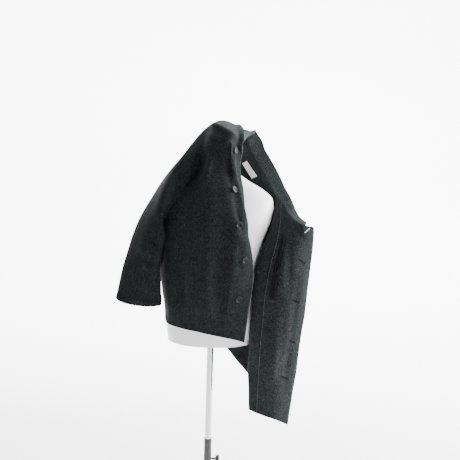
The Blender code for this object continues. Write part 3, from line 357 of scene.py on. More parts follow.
# --- right front -------------------------------------------------------------
NECK_N, SHOULDER_N = 6, 8          # columns along neckline and shoulder
ARM_N, SIDE_N = 9, 9               # rows along armhole and side seam
us_r = [g[1] for g in GUIDES_FR]
u_np = us_r[2]
uq_r = np.concatenate([np.linspace(0, u_np, NECK_N + 1), np.linspace(u_np, 1, SHOULDER_N + 1)[1:]])
vq_r = split(ROWS_R, ARM_N, SIDE_N, UNDERARM_R)
net_r = [[seen(*g[2][i]) for g in GUIDES_FR] for i in range(len(ROWS_R))]
front_r = patch(us_r, ROWS_R, net_r, uq_r, vq_r)


def neck_line(table, n):
    """n + 1 points along a front neckline; the second is where the collar ends."""
    fine = line(table, 200)
    d = np.concatenate([[0], np.cumsum(np.linalg.norm(np.diff(fine, axis=0), axis=1))])
    q = np.concatenate([[0], np.linspace(COLLAR_ENDS, d[-1], n)])
    return np.stack([np.interp(q, d, fine[:, i]) for i in range(3)], axis=1)


neck_r, neck_l = neck_line(NECK_FRONT_R, NECK_N), neck_line(NECK_FRONT_L, 9)
top_r = np.concatenate([neck_r, line(SHOULDER_R, SHOULDER_N)[1:]])
front_r = snap_edge(front_r, "top", top_r)
front_r = push_clear(front_r)

# --- left front ----------------------------------------------------------------
us_l = [g[1] for g in GUIDES_FL]
u_npl = us_l[4]
NECK_NL, SHOULDER_NL = 9, 6
uq_l = np.concatenate([np.linspace(0, u_npl, NECK_NL + 1), np.linspace(u_npl, 1, SHOULDER_NL + 1)[1:]])
vq_l = split(ROWS_L, ARM_N, SIDE_N, UNDERARM_L)
net_l = []
for i in range(len(ROWS_L)):
    row = [seen(*g[2][i]) for g in GUIDES_FL[:5]]
    row += [real(*RETURN_L[i]), real(*SIDE_L[i])]
    net_l.append(row)
front_l = patch(us_l, ROWS_L, net_l, uq_l, vq_l)
top_l = np.concatenate([neck_l, line(SHOULDER_L, SHOULDER_NL)[1:]])
front_l = snap_edge(front_l, "top", top_l)
front_l = push_clear(front_l)

# --- back ------------------------------------------------------------------------
BACK_NECK_N = 10
us_b = [0.0] + [g[1] for g in GUIDES_B] + [1.0]
uq_b = np.concatenate([np.linspace(0, us_b[3], SHOULDER_N + 1),
                       np.linspace(us_b[3], us_b[5], BACK_NECK_N + 1)[1:],
                       np.linspace(us_b[5], 1.0, SHOULDER_NL + 1)[1:]])
arm_br = line([SHOULDER_R[-1][1]] + [real(*p) for p in ARMHOLE_BACK_R] + [front_r[ARM_N, -1]], ARM_N)
arm_bl = line([SHOULDER_L[-1][1]] + [real(*p) for p in ARMHOLE_BACK_L] + [front_l[ARM_N, -1]], ARM_N)
arm_br[1:-1] = push_clear(arm_br[None, 1:-1])[0]
arm_bl[1:-1] = push_clear(arm_bl[None, 1:-1])[0]
side_br = np.concatenate([arm_br, front_r[ARM_N + 1:, -1]])
side_bl = np.concatenate([arm_bl, front_l[ARM_N + 1:, -1]])
vq_b = split(ROWS_B, ARM_N, SIDE_N, 3)
sr, nb, sl = line(SHOULDER_R, SHOULDER_N)[::-1], line(NECK_BACK, BACK_NECK_N), line(SHOULDER_L, SHOULDER_NL)
top_b = np.concatenate([sr, nb[1:], sl[1:]])
tops = [np.array([np.interp(u, uq_b, top_b[:, k]) for k in range(3)]) for u in us_b]


def read_rows(edge, vq, rows):
    return [np.array([np.interp(v, vq, edge[:, k]) for k in range(3)]) for v in rows]


left_col, right_col = read_rows(side_br, vq_b, ROWS_B), read_rows(side_bl, vq_b, ROWS_B)
net_b = []
for i in range(len(ROWS_B)):
    mid = [tops[k + 1] if i == 0 else real(*GUIDES_B[k][2][i]) for k in range(len(GUIDES_B))]
    net_b.append([left_col[i]] + mid + [right_col[i]])
back = patch(us_b, ROWS_B, net_b, uq_b, vq_b)
back = snap_edge(back, "left", side_br)
back = snap_edge(back, "right", side_bl)
back = snap_edge(back, "top", top_b)
back[0] = top_b
back[:, 0], back[:, -1] = side_br, side_bl
back = relax(back, "left", 7, 14)
back = relax(back, "right", 4, 14)
back = push_clear(back)
back[0] = top_b
back[:, 0], back[:, -1] = side_br, side_bl
front_r[0] = top_r
front_l[0] = top_l


# --- sleeves ---------------------------------------------------------------------
def sleeve(front_edge, back_edge, table, rings=13):
    """Rings from the armhole to the cuff. Ring points start at the shoulder tip, run down
    the front to the underarm and up the back."""
    arm = np.concatenate([front_edge, back_edge[::-1][1:-1]])
    n = len(arm)
    half = n // 2
    ang = np.concatenate([np.linspace(0, math.pi, half + 1), np.linspace(math.pi, 2 * math.pi, half + 1)[1:-1]])
    ts = [0.0] + [r[1] for r in table]
    rows = [arm]
    for _, t, outer, inner, front, behind in table:
        mid, arm_half = (outer + inner) / 2, (outer - inner) / 2
        ring = []
        for a in ang:
            w = np.array(front if a <= math.pi else behind, float)
            ring.append(mid + arm_half * math.cos(a) + w * abs(math.sin(a)))
        rows.append(np.array(ring))
    q = np.linspace(0, 1, rings)
    return nat_spline(ts, np.array(rows), q)


sleeve_r = sleeve(front_r[:ARM_N + 1, -1], side_br[:ARM_N + 1], SLEEVE_R)
sleeve_l = sleeve(front_l[:ARM_N + 1, -1], side_bl[:ARM_N + 1], SLEEVE_L)
for k in range(1, len(sleeve_r)):
    sleeve_r[k] = push_clear(sleeve_r[k:k + 1], CLEAR + min(9.0, 3.0 * k))[0]
    sleeve_l[k] = push_clear(sleeve_l[k:k + 1], CLEAR + min(9.0, 3.0 * k))[0]

# --- normals, out of the garment; sleeves kept outside the body pieces ------------------
n_fr = normals(front_r)
n_fl = normals(front_l)
n_bk = normals(back)


def point_out(n, g, at, towards):
    """Turn a normal field so that at one place it looks along a direction."""
    return n if float(np.dot(n[at], towards)) > 0 else -n


mid_r = (9, 9)
n_fr = point_out(n_fr, front_r, mid_r, np.array([0, -1, 0]))
n_fl = point_out(n_fl, front_l, (9, 4), np.array([0, 1, 0]))
n_bk = point_out(n_bk, back, (9, 12), np.array([0, 1, 0]))


def ease(rings, w=0.35):
    """Let a sleeve's points settle towards their neighbours; armhole and cuff stay."""
    out = rings.copy()
    for i in range(1, len(rings) - 1):
        near = (rings[i - 1] + rings[i + 1] + np.roll(rings[i], 1, axis=0) + np.roll(rings[i], -1, axis=0)) / 4
        fade = w if i < 5 else w * 0.3
        out[i] = rings[i] * (1 - fade) + near * fade
    return out


def outside(rings, bodies, gaps, reach):
    """Keep sleeve rings at least gaps[ring] outside the body pieces they hang beside."""
    out = rings.copy()
    for g, n in bodies:
        verts = [Vector(v) for v in g.reshape(-1, 3)]
        nu = g.shape[1]
        cells = [(i * nu + j, (i + 1) * nu + j, (i + 1) * nu + j + 1, i * nu + j + 1)
                 for i in range(g.shape[0] - 1) for j in range(nu - 1)]
        tree = BVHTree.FromPolygons(verts, cells)
        for i in range(1, len(out)):
            gap = gaps[min(i, len(gaps) - 1)]
            for j in range(out.shape[1]):
                hit, face_n, cell, dist = tree.find_nearest(Vector(out[i, j]), 60.0)
                near_underarm = min(max((reach - abs(j - ARM_N)) / 3.0, 0.0), 1.0)
                if hit is None or near_underarm == 0.0:
                    continue
                r, c = divmod(cell, nu - 1)
                m = n[r, c] + n[r + 1, c] + n[r, c + 1] + n[r + 1, c + 1]
                m = m / np.linalg.norm(m)
                d = float(np.dot(out[i, j] - np.array(hit), m))
                if d < gap:
                    out[i, j] += m * (gap - d) * near_underarm
    return out


GAPS_R, GAPS_L = [0, 12, 15, 15, 13, 12, 11], [0, 9, 12, 12, 11, 10, 10]
for turn in range(3):
    sleeve_r, sleeve_l = ease(sleeve_r), ease(sleeve_l)
    sleeve_r = outside(sleeve_r, [(front_r, n_fr), (back, n_bk)], GAPS_R, 4.6)
    sleeve_l = outside(sleeve_l, [(front_l, n_fl), (back, n_bk)], GAPS_L, 5.0)
n_sr = normals(sleeve_r, wrap=True)
n_sl = normals(sleeve_l, wrap=True)
n_sr = point_out(n_sr, sleeve_r, (8, 0), np.array([-1, 0, 0.2]))
n_sl = point_out(n_sl, sleeve_l, (8, 0), np.array([1, 0, 0.2]))

# --- collar ---------------------------------------------------------------------------
base = np.concatenate([neck_r[1:], nb[1:], neck_l[::-1][1:-1]])
COLLAR_N = len(base) - 1
d_base = np.concatenate([[0], np.cumsum(np.linalg.norm(np.diff(base, axis=0), axis=1))])
rise = nat_spline([c[1] for c in COLLAR], np.array([c[2] for c in COLLAR], float), d_base / d_base[-1])
collar = np.stack([base + rise * f for f in (0.0, 0.33, 0.67, 1.0)])
n_co = normals(collar)
n_co = point_out(n_co, collar, (2, NECK_N + 4), np.array([0, 1, 0.3]))

def read_grid(g, uq, vq, u, v):
    """Point of a grid at surface place (u, v)."""
    cols = np.stack([[np.interp(u, uq, g[i, :, k]) for k in range(3)] for i in range(len(vq))])
    return np.array([np.interp(v, vq, cols[:, k]) for k in range(3)])

BUTTON_FIRST, BUTTON_PITCH = 44.0, 128.0


def button_place(down, in_from_edge):
    """Place on the right front a distance down the front edge and in from it."""
    rows = np.array([read_grid(front_r, uq_r, vq_r, 0.0, v) for v in np.linspace(0, 1, 120)])
    d = np.concatenate([[0], np.cumsum(np.linalg.norm(np.diff(rows, axis=0), axis=1))])
    v = float(np.interp(down, d, np.linspace(0, 1, 120)))
    us = np.linspace(0, 0.4, 80)
    row = np.array([read_grid(front_r, uq_r, vq_r, u, v) for u in us])
    e = np.concatenate([[0], np.cumsum(np.linalg.norm(np.diff(row, axis=0), axis=1))])
    u = float(np.interp(in_from_edge, e, us))
    p = read_grid(front_r, uq_r, vq_r, u, v)
    n = read_grid(n_fr, uq_r, vq_r, u, v)
    return p, n / np.linalg.norm(n)


def lift_clear(at, n):
    """Raise a button until its underside stands clear of the cloth under it."""
    nu = front_r.shape[1]
    tris = []
    for i in range(front_r.shape[0] - 1):
        for j in range(nu - 1):
            a = i * nu + j
            tris += [(a, a + nu, a + nu + 1), (a, a + nu + 1, a + 1), (a, a + nu, a + 1), (a + nu, a + nu + 1, a + 1)]
    tree = BVHTree.FromPolygons([Vector(v) for v in front_r.reshape(-1, 3)], tris)
    zaxis = Vector(n)
    xaxis = Vector((0, 0, 1)).cross(zaxis).normalized()
    yaxis = zaxis.cross(xaxis)
    lift = CLOTH / 2 + 1.4
    while lift < 12:
        low = min(tree.find_nearest(Vector(at) + zaxis * lift + (xaxis * math.cos(t) + yaxis * math.sin(t)) * r)[3]
                  for r in (0.0, BUTTON_R * 0.6, BUTTON_R) for t in (math.pi * k / 6 for k in range(12)))
        if low > CLOTH / 2 + 0.8:
            return lift
        lift += 0.4
    return lift

# ================================================================ the visual model
# The same tables and surfaces as the construction, at a finer pitch, with the creases,
# edges, seams and stitching of the cloth. Lengths are in millimetres until a mesh is made.
F = 6                                  # fine cells to one construction cell
GROOVE, GROOVE_W = 0.9, 2.4            # seam groove: depth and half width
GAIN = 1.65                            # all creases together
N_TIP = ARM_N


def fine_axis(n):
    """Places along n cells, closer together at both ends."""
    q = set(np.round(np.linspace(0, n, n * F + 1), 6)) | {0.04, 0.1, n - 0.1, n - 0.04}
    return np.array(sorted(q))


def refine(g, qv, qu, wrap=False):
    nv, nu = g.shape[:2]
    if wrap:
        h = np.concatenate([g[:, -4:], g, g[:, :5]], axis=1)
        us = np.arange(-4, nu + 5)
    else:
        h, us = g, np.arange(nu)
    rows = nat_spline(np.arange(nv), h, qv)
    return np.stack([nat_spline(us, rows[i], qu) for i in range(len(qv))])


def fine_edge(pts, corners, q):
    """A line refined stretch by stretch, so that its corners stay and two pieces agree."""
    out = np.zeros((len(q), 3))
    for a, b in zip(corners, corners[1:]):
        m = (q >= a - 1e-9) & (q <= b + 1e-9)
        out[m] = nat_spline(np.arange(a, b + 1), pts[a:b + 1], q[m])
    return out


def pull(g, side, pts, reach=9):
    """Move a fine grid's edge onto a line; the change fades smoothly inward."""
    g = g.copy()
    src = g.copy()
    for k in range(reach):
        f = 0.5 + 0.5 * math.cos(math.pi * k / reach)
        if side == "top" and k < len(g):
            g[k] += (pts - src[0]) * f
        elif side == "left":
            g[:, k] += (pts - src[:, 0]) * f
        elif side == "right":
            g[:, -1 - k] += (pts - src[:, -1]) * f
    return g


def as_seen(p):
    """Places across and up, as seen() takes them, of an array of true points."""
    k = (-EYE[1] + p[..., 1]) / -EYE[1]
    return np.stack([EYE[0] + (p[..., 0] - EYE[0]) / k, EYE[2] + (p[..., 2] - EYE[2]) / k], axis=-1)


def along(places, path):
    """Signed distance to a path and how far along it each place is, 0 to 1."""
    path = nat_spline(np.linspace(0, 1, len(path)), np.array(path, float), np.linspace(0, 1, 12)) if len(path) > 2 \
        else np.array(path, float)
    seg = np.diff(path, axis=0)
    ln = np.linalg.norm(seg, axis=1)
    start = np.concatenate([[0], np.cumsum(ln)])
    best = np.full(places.shape[:-1], 1e9)
    t_at = np.zeros(places.shape[:-1])
    for i in range(len(seg)):
        r = places - path[i]
        h = np.clip((r @ seg[i]) / max(ln[i] ** 2, 1e-9), 0, 1)
        d = r - h[..., None] * seg[i]
        dist = np.linalg.norm(d, axis=-1)
        side = np.sign(seg[i][0] * r[..., 1] - seg[i][1] * r[..., 0])
        m = dist < np.abs(best)
        best = np.where(m, dist * np.where(side == 0, 1, side), best)
        t_at = np.where(m, (start[i] + h * ln[i]) / start[-1], t_at)
    return best, t_at


def crease(places, table):
    """Height of all creases of a table at the given places. A row gives name, height (minus for a
    trough), half width to the path's left and right, where it fades in and out, and its path."""
    out = np.zeros(places.shape[:-1])
    for k, (_, height, w_left, w_right, fade_in, fade_out, path) in enumerate(table):
        d, t = along(places, path)
        w = np.where(d > 0, w_left, w_right) * (1 + 0.22 * np.sin(5.1 * t + 1.7 * k))
        taper = np.clip(t / max(fade_in, 1e-3), 0, 1) * np.clip((1 - t) / max(fade_out, 1e-3), 0, 1)
        taper = taper * taper * (3 - 2 * taper)
        out += GAIN * height * (1 + 0.3 * np.sin(7.3 * t + 2.3 * k)) * taper * np.exp(-(d / w) ** 2)
    return out


def slow(p, seed, size, amount):
    """A slow unevenness: a few crossed waves of one size."""
    rng = np.random.default_rng(seed)
    out = np.zeros(p.shape[:-1])
    for _ in range(7):
        d = rng.normal(size=3)
        d /= np.linalg.norm(d)
        out += np.sin((p @ d) / size * 2 * math.pi * rng.uniform(0.6, 1.5) + rng.uniform(0, 6.28))
    return out * amount / 2.6


# ---------------------------------------------------------------- creases
# name, height, half width left and right of the path, fade in and out, path across and up
FRONT_R_FOLDS = [
    ("cap's rim",              3.6, 6, 8, 0.25, 0.25, [(-34, 1546), (-12, 1549), (12, 1543), (36, 1534), (64, 1518), (88, 1500)]),
    ("under the cap's rim",   -4.0, 9, 10, 0.2, 0.2, [(-30, 1526), (-8, 1530), (14, 1524), (38, 1514), (60, 1500), (78, 1482)]),
    ("valley to underarm",    -8.0, 15, 20, 0.2, 0.3, [(-48, 1486), (-60, 1416), (-72, 1366), (-96, 1300), (-124, 1222), (-140, 1160)]),
    ("valley's left ridge",    4.0, 16, 12, 0.3, 0.4, [(-84, 1440), (-94, 1380), (-118, 1300), (-144, 1230)]),
    ("notch by the chest",    -4.2, 7, 11, 0.3, 0.5, [(-26, 1470), (-36, 1432), (-45, 1388), (-60, 1340)]),
    ("ridge by the notch",     4.2, 12, 8, 0.3, 0.4, [(-12, 1472), (-18, 1424), (-28, 1372), (-42, 1320)]),
    ("hollow by the band",    -4.8, 9, 13, 0.12, 0.12, [(52, 1505), (47, 1463), (46, 1432), (52, 1388), (62, 1335),
                                                       (76, 1284), (91, 1234), (107, 1186), (120, 1140)]),
    ("roll of the band",       5.0, 5, 6, 0.12, 0.12, [(74, 1505), (66, 1463), (64, 1438), (69, 1388), (79, 1337),
                                                       (93, 1286), (107, 1239), (122, 1191), (133, 1146)]),
    ("edge falls back",       -3.6, 12, 12, 0.2, 0.2, [(94, 1470), (94, 1431), (104, 1372), (112, 1310), (120, 1240),
                                                       (131, 1170), (141, 1120)]),
    ("long fold middle",       4.6, 24, 30, 0.3, 0.2, [(-2, 1330), (-16, 1225), (-22, 1110), (-18, 990), (-8, 880), (-2, 800)]),
    ("long trough middle",    -4.4, 24, 20, 0.3, 0.2, [(34, 1260), (36, 1150), (30, 1040), (26, 920), (28, 810)]),
    ("long fold by buttons",   2.4, 14, 18, 0.3, 0.3, [(66, 1190), (78, 1100), (70, 1000), (56, 880), (54, 800)]),
    ("side trough",           -5.0, 16, 24, 0.3, 0.3, [(-92, 1170), (-104, 1080), (-108, 980), (-100, 880)]),
    ("side ridge",             4.0, 18, 15, 0.3, 0.4, [(-66, 1150), (-74, 1050), (-76, 950), (-70, 850)]),
    ("small fold by button",  -1.6, 7, 10, 0.4, 0.5, [(118, 1108), (96, 1096), (72, 1084), (52, 1082)]),
    ("small fold low",         1.0, 8, 12, 0.4, 0.5, [(120, 985), (92, 962), (60, 956)]),
    ("hem wave",              -1.8, 22, 18, 0.4, 0.1, [(-46, 900), (-44, 850), (-42, 790)]),
]
SLEEVE_R_FOLDS = [
    ("outer long fold",        4.4, 16, 22, 0.3, 0.3, [(-120, 1390), (-168, 1310), (-208, 1230), (-242, 1140), (-262, 1040)]),
    ("long trough",           -5.0, 16, 14, 0.3, 0.3, [(-118, 1340), (-158, 1268), (-196, 1180), (-224, 1080), (-240, 970)]),
    ("inner ridge",            4.2, 13, 17, 0.3, 0.4, [(-128, 1282), (-158, 1222), (-184, 1150), (-202, 1070), (-206, 980)]),
    ("elbow crease",          -3.8, 10, 16, 0.4, 0.5, [(-178, 1110), (-214, 1120), (-256, 1150)]),
    ("elbow crease low",      -3.0, 9, 14, 0.4, 0.5, [(-186, 1050), (-226, 1052), (-276, 1082)]),
    ("upper drag",            -2.4, 12, 16, 0.4, 0.5, [(-104, 1330), (-136, 1322), (-178, 1330)]),
    ("cuff fold",              2.0, 20, 26, 0.4, 0.1, [(-262, 1010), (-268, 960), (-272, 900)]),
    ("cuff trough",           -2.2, 16, 22, 0.4, 0.1, [(-306, 1040), (-318, 980), (-324, 910)]),
    ("cuff trough inner",     -1.8, 12, 14, 0.4, 0.1, [(-212, 1010), (-218, 960), (-220, 900)]),
]
FRONT_L_FOLDS = [
    ("tab crease",            -3.0, 6, 9, 0.2, 0.4, [(298, 1216), (304, 1196), (318, 1172), (332, 1142)]),
    ("tab crease short",      -1.8, 5, 8, 0.3, 0.4, [(286, 1200), (304, 1180), (314, 1158)]),
    ("tab ridge",              2.0, 8, 6, 0.2, 0.5, [(312, 1208), (322, 1190), (336, 1168)]),
    ("ripple by pocket",      -3.0, 8, 10, 0.3, 0.3, [(206, 1206), (206, 1120), (202, 1030), (198, 950)]),
    ("ripple ridge",           1.8, 9, 8, 0.3, 0.3, [(256, 1200), (258, 1110), (258, 1010), (262, 930)]),
    ("ripple outer",          -1.6, 10, 14, 0.3, 0.3, [(276, 1180), (280, 1090), (282, 990), (276, 900)]),
    ("under pocket",          -2.0, 7, 9, 0.3, 0.4, [(150, 920), (196, 919), (232, 916), (262, 912)]),
    ("long fold",              4.4, 14, 20, 0.3, 0.3, [(236, 900), (240, 800), (236, 690), (228, 560)]),
    ("long trough",           -4.2, 13, 15, 0.3, 0.3, [(206, 940), (206, 830), (206, 690), (202, 540)]),
    ("by the edge",           -3.0, 12, 16, 0.3, 0.3, [(308, 1010), (306, 900), (296, 780), (282, 640), (270, 520)]),
    ("edge wave",              2.0, 16, 16, 0.3, 0.3, [(332, 1110), (330, 1010), (324, 900), (312, 790)]),
    ("turn by the form",      -2.8, 16, 12, 0.2, 0.3, [(214, 1290), (190, 1200), (168, 1100), (152, 1000)]),
    ("turn ridge",             2.0, 12, 16, 0.3, 0.3, [(236, 1268), (210, 1178), (186, 1084), (168, 980)]),
]
COLLAR_FOLDS = [
    ("roll",                   1.6, 14, 18, 0.2, 0.2, [(150, 1505), (182, 1462), (208, 1408), (236, 1350), (262, 1296), (296, 1232)]),
    ("dip",                   -1.4, 8, 8, 0.3, 0.4, [(190, 1430), (206, 1398)]),
    ("dip low",               -1.4, 8, 9, 0.3, 0.4, [(246, 1310), (262, 1280)]),
]
# the back as seen from behind: true places x and z
BACK_FOLDS = [
    ("drag right to left 1",   5.5, 20, 34, 0.25, 0.3, [(-60, 1440), (-20, 1340), (30, 1220), (70, 1080), (90, 920), (100, 740)]),
    ("trough 1",              -5.0, 24, 22, 0.3, 0.3, [(-88, 1380), (-60, 1270), (-16, 1150), (24, 1010), (44, 860)]),
    ("drag 2",                 4.5, 18, 28, 0.3, 0.3, [(-120, 1330), (-104, 1220), (-70, 1100), (-40, 960), (-30, 860)]),
    ("trough 2",              -4.5, 22, 18, 0.3, 0.3, [(-160, 1260), (-150, 1160), (-124, 1060), (-96, 960)]),
    ("neck fold",             -4.0, 12, 20, 0.3, 0.5, [(76, 1500), (72, 1430), (84, 1350), (104, 1260)]),
    ("neck ridge",             3.5, 20, 12, 0.3, 0.5, [(112, 1440), (112, 1350), (126, 1250)]),
    ("left long fold",         5.0, 18, 26, 0.3, 0.15, [(170, 1200), (150, 1060), (146, 900), (150, 740), (156, 600)]),
    ("left trough",           -4.5, 18, 18, 0.3, 0.15, [(206, 1100), (190, 960), (186, 800), (190, 620)]),
    ("hem wave",               3.0, 24, 24, 0.5, 0.05, [(-30, 960), (-40, 880), (-44, 800)]),
    ("side drag",             -2.6, 12, 18, 0.4, 0.5, [(-196, 1120), (-150, 1110), (-100, 1130)]),
]
SLEEVE_BACK_FOLDS = [
    ("outer fold",             4.0, 18, 26, 0.3, 0.3, [(-150, 1360), (-196, 1270), (-236, 1170), (-262, 1060), (-276, 940)]),
    ("trough",                -4.0, 18, 16, 0.3, 0.3, [(-176, 1270), (-206, 1190), (-228, 1090), (-240, 980)]),
    ("elbow",                 -3.0, 10, 16, 0.4, 0.4, [(-190, 1090), (-236, 1110), (-288, 1150)]),
    ("elbow low",             -2.4, 10, 14, 0.4, 0.4, [(-196, 1020), (-250, 1030), (-306, 1066)]),
]
SLEEVE_L_FOLDS = [
    ("outer fold",             4.0, 16, 22, 0.3, 0.3, [(292, 1080), (306, 960), (310, 820), (302, 680), (290, 580)]),
    ("trough",                -4.0, 16, 14, 0.3, 0.3, [(268, 1040), (278, 920), (280, 780), (272, 650)]),
    ("elbow",                 -3.2, 10, 16, 0.4, 0.4, [(232, 820), (276, 800), (326, 830)]),
    ("elbow low",             -2.6, 10, 14, 0.4, 0.4, [(232, 740), (272, 726), (320, 750)]),
]

# ---------------------------------------------------------------- fine mid-surfaces
q_ar, q_as = fine_axis(ARM_N + SIDE_N), None
qv = fine_axis(ARM_N + SIDE_N)
qu_r, qu_l = fine_axis(NECK_N + SHOULDER_N), fine_axis(NECK_NL + SHOULDER_NL)
qu_b = fine_axis(SHOULDER_N + BACK_NECK_N + SHOULDER_NL)
rings = len(sleeve_r) - 1
qr = fine_axis(rings)
RING = sleeve_r.shape[1]
qc = np.arange(0, RING, 1.0 / F)
HALF = ARM_N

ROWS = ARM_N + SIDE_N
COLS_R, COLS_L = NECK_N + SHOULDER_N, NECK_NL + SHOULDER_NL
COLS_B = SHOULDER_N + BACK_NECK_N + SHOULDER_NL

vis = {}
top_fr = fine_edge(top_r, [0, NECK_N, COLS_R], qu_r)
side_fr = fine_edge(front_r[:, -1], [0, ARM_N, ROWS], qv)
g = refine(front_r, qv, qu_r)
g = pull(g, "right", side_fr)
vis["front_r"] = pull(g, "top", top_fr)

top_fl = fine_edge(top_l, [0, NECK_NL, COLS_L], qu_l)
side_fl = fine_edge(front_l[:, -1], [0, ARM_N, ROWS], qv)
g = refine(front_l, qv, qu_l)
g = pull(g, "right", side_fl)
vis["front_l"] = pull(g, "top", top_fl)

top_bk = fine_edge(top_b, [0, SHOULDER_N, SHOULDER_N + BACK_NECK_N, COLS_B], qu_b)
g = refine(back, qv, qu_b)
left_b = fine_edge(back[:, 0], [0, ARM_N, ROWS], qv)
right_b = fine_edge(back[:, -1], [0, ARM_N, ROWS], qv)
g = pull(g, "left", left_b)
g = pull(g, "right", right_b)
vis["back"] = pull(g, "top", top_bk)


def fine_sleeve(s):
    g = refine(s, qr, qc, wrap=True)
    ring = np.concatenate([s[0], s[0][:1]])
    edge = fine_edge(ring, [0, ARM_N, RING], qc)
    return pull(g, "top", edge, 7)


vis["sleeve_r"], vis["sleeve_l"] = fine_sleeve(sleeve_r), fine_sleeve(sleeve_l)

full = np.concatenate([neck_r, nb[1:], neck_l[::-1][1:]])
qk = fine_axis(COLLAR_N)
g = refine(collar, fine_axis(3), qk)
edge = fine_edge(full, [0, NECK_N, NECK_N + BACK_NECK_N, NECK_N + BACK_NECK_N + NECK_NL], qk + 1)
vis["collar"] = pull(g, "top", edge, 6)


def shared_shift(p):
    """Moves that depend only on a place, so that pieces stay joined: the deep fold along the right
    armhole, and the cloth that stands up beside the neck cap."""
    s = as_seen(p)
    out = np.zeros_like(p)
    near = np.clip((12 - p[..., 1]) / 20, 0, 1)
    fold = crease(s, [("armhole", 9.5, 9, 13, 0.25, 0.15,
                       [(-78, 1392), (-104, 1318), (-121, 1265), (-142, 1207), (-160, 1155), (-173, 1118),
                        (-179, 1074), (-183, 1015)])])
    out[..., 1] += fold * near
    far = np.clip((p[..., 1] - 5) / 25, 0, 1)
    rise = 13 * np.exp(-((s[..., 0] - 88) / 17) ** 2 - ((s[..., 1] - 1540) / 24) ** 2) * far
    out[..., 2] += rise
    side = 9 * np.exp(-((s[..., 0] - 160) / 20) ** 2 - ((s[..., 1] - 1500) / 22) ** 2) * far
    out[..., 0] += side * 0.7
    out[..., 2] += side * 0.5
    return out


for p in ("front_r", "back", "sleeve_r", "collar"):
    vis[p] = vis[p] + shared_shift(vis[p])

OUT = {"front_r": ((60, 40), (0, -1, 0)), "front_l": ((60, 24), (0, 1, 0)), "back": ((60, 70), (0, 1, 0)),
       "sleeve_r": ((50, 0), (-1, 0, 0.2)), "sleeve_l": ((50, 0), (1, 0, 0.2)), "collar": ((10, 60), (0, 1, 0.3))}
norm = {}
for p, g in vis.items():
    norm[p] = point_out(normals(g, wrap=p.startswith("sleeve")), g, OUT[p][0], np.array(OUT[p][1], float))


# ---------------------------------------------------------------- cloth clear of the form
def clear_fine(g, gap):
    return push_clear(g, gap)


for p in ("front_r", "front_l", "back"):
    before = vis[p]
    moved = clear_fine(before, 3.4)
    vis[p] = moved


def arc(g, side):
    """Distance of every point from one edge of its grid, along the grid lines."""
    if side in ("top", "bottom"):
        d = np.linalg.norm(np.diff(g, axis=0), axis=2)
        s = np.concatenate([np.zeros((1, g.shape[1])), np.cumsum(d, axis=0)])
        return s if side == "top" else s[-1] - s
    d = np.linalg.norm(np.diff(g, axis=1), axis=2)
    s = np.concatenate([np.zeros((g.shape[0], 1)), np.cumsum(d, axis=1)], axis=1)
    return s if side == "left" else s[:, -1:] - s


def behind(g):
    return np.stack([g[..., 0], g[..., 2]], axis=-1)


def facing_eye(n, sign=1.0):
    """1 where a surface looks at the eye's side, 0 where it looks away, soft between."""
    f = np.clip(sign * -n[..., 1] * 2.2 + 0.25, 0, 1)
    return f * f * (3 - 2 * f)


def outside_fine(rings, bodies, most):
    """Sleeve points near the underarm stay outside the body pieces; the gap grows from the seam."""
    out = rings.copy()
    down = arc(rings, "top")
    n_ring = rings.shape[1]
    for g, n in bodies:
        nu = g.shape[1]
        cells = [(i * nu + j, (i + 1) * nu + j, (i + 1) * nu + j + 1, i * nu + j + 1)
                 for i in range(g.shape[0] - 1) for j in range(nu - 1)]
        tree = BVHTree.FromPolygons([Vector(v) for v in g.reshape(-1, 3)], cells)
        for i in range(1, len(out)):
            for j in range(n_ring):
                near = min(max((5.0 - abs(j / F - ARM_N)) / 2.0, 0.0), 1.0)
                gap = min(most, 0.35 * down[i, j])
                if near == 0.0:
                    continue
                hit, _, cell, dist = tree.find_nearest(Vector(out[i, j]), 40.0)
                if hit is None:
                    continue
                r, c = divmod(cell, nu - 1)
                m = n[r, c] + n[r + 1, c] + n[r, c + 1] + n[r + 1, c + 1]
                m = m / max(np.linalg.norm(m), 1e-9)
                d = float(np.dot(out[i, j] - np.array(hit), m))
                if d < gap:
                    out[i, j] += m * (gap - d) * near
    return out


for p, g in vis.items():
    n = norm[p]
    h = slow(g, sum(map(ord, p)), 150, 0.9) + slow(g, 7 + sum(map(ord, p)), 60, 0.25)
    if p == "front_r":
        h = h + crease(as_seen(g), FRONT_R_FOLDS)
    elif p == "front_l":
        h = h - crease(as_seen(g), FRONT_L_FOLDS) * facing_eye(n, -1.0)
    elif p == "back":
        h = h + crease(behind(g), BACK_FOLDS) * facing_eye(n, -1.0)
    elif p == "sleeve_r":
        h = h + crease(as_seen(g), SLEEVE_R_FOLDS) * facing_eye(n) + crease(behind(g), SLEEVE_BACK_FOLDS) * facing_eye(n, -1.0)
    elif p == "sleeve_l":
        h = h + crease(behind(g), SLEEVE_L_FOLDS)
    elif p == "collar":
        h = h - crease(as_seen(g), COLLAR_FOLDS)
    # folds die out at the seams so that neighbours stay joined
    quiet = np.ones(g.shape[:2])
    sides = {"front_r": ["top", "right"], "front_l": ["top", "right"], "back": ["top", "left", "right"],
             "sleeve_r": ["top"], "sleeve_l": ["top"], "collar": ["top"]}[p]
    for side in sides:
        d = arc(g, side)
        quiet = quiet * np.clip(d / 22.0, 0, 1) ** 0.8
    moved = g + n * (h * quiet)[..., None]
    if p in ("front_r", "front_l", "back"):
        moved = push_clear(moved, 3.4)
        for side in sides:
            if side == "top":
                moved[0] = g[0]
            elif side == "left":
                moved[:, 0] = g[:, 0]
            else:
                moved[:, -1] = g[:, -1]
    vis[p] = moved
    norm[p] = point_out(normals(moved, wrap=p.startswith("sleeve")), moved, OUT[p][0], np.array(OUT[p][1], float))

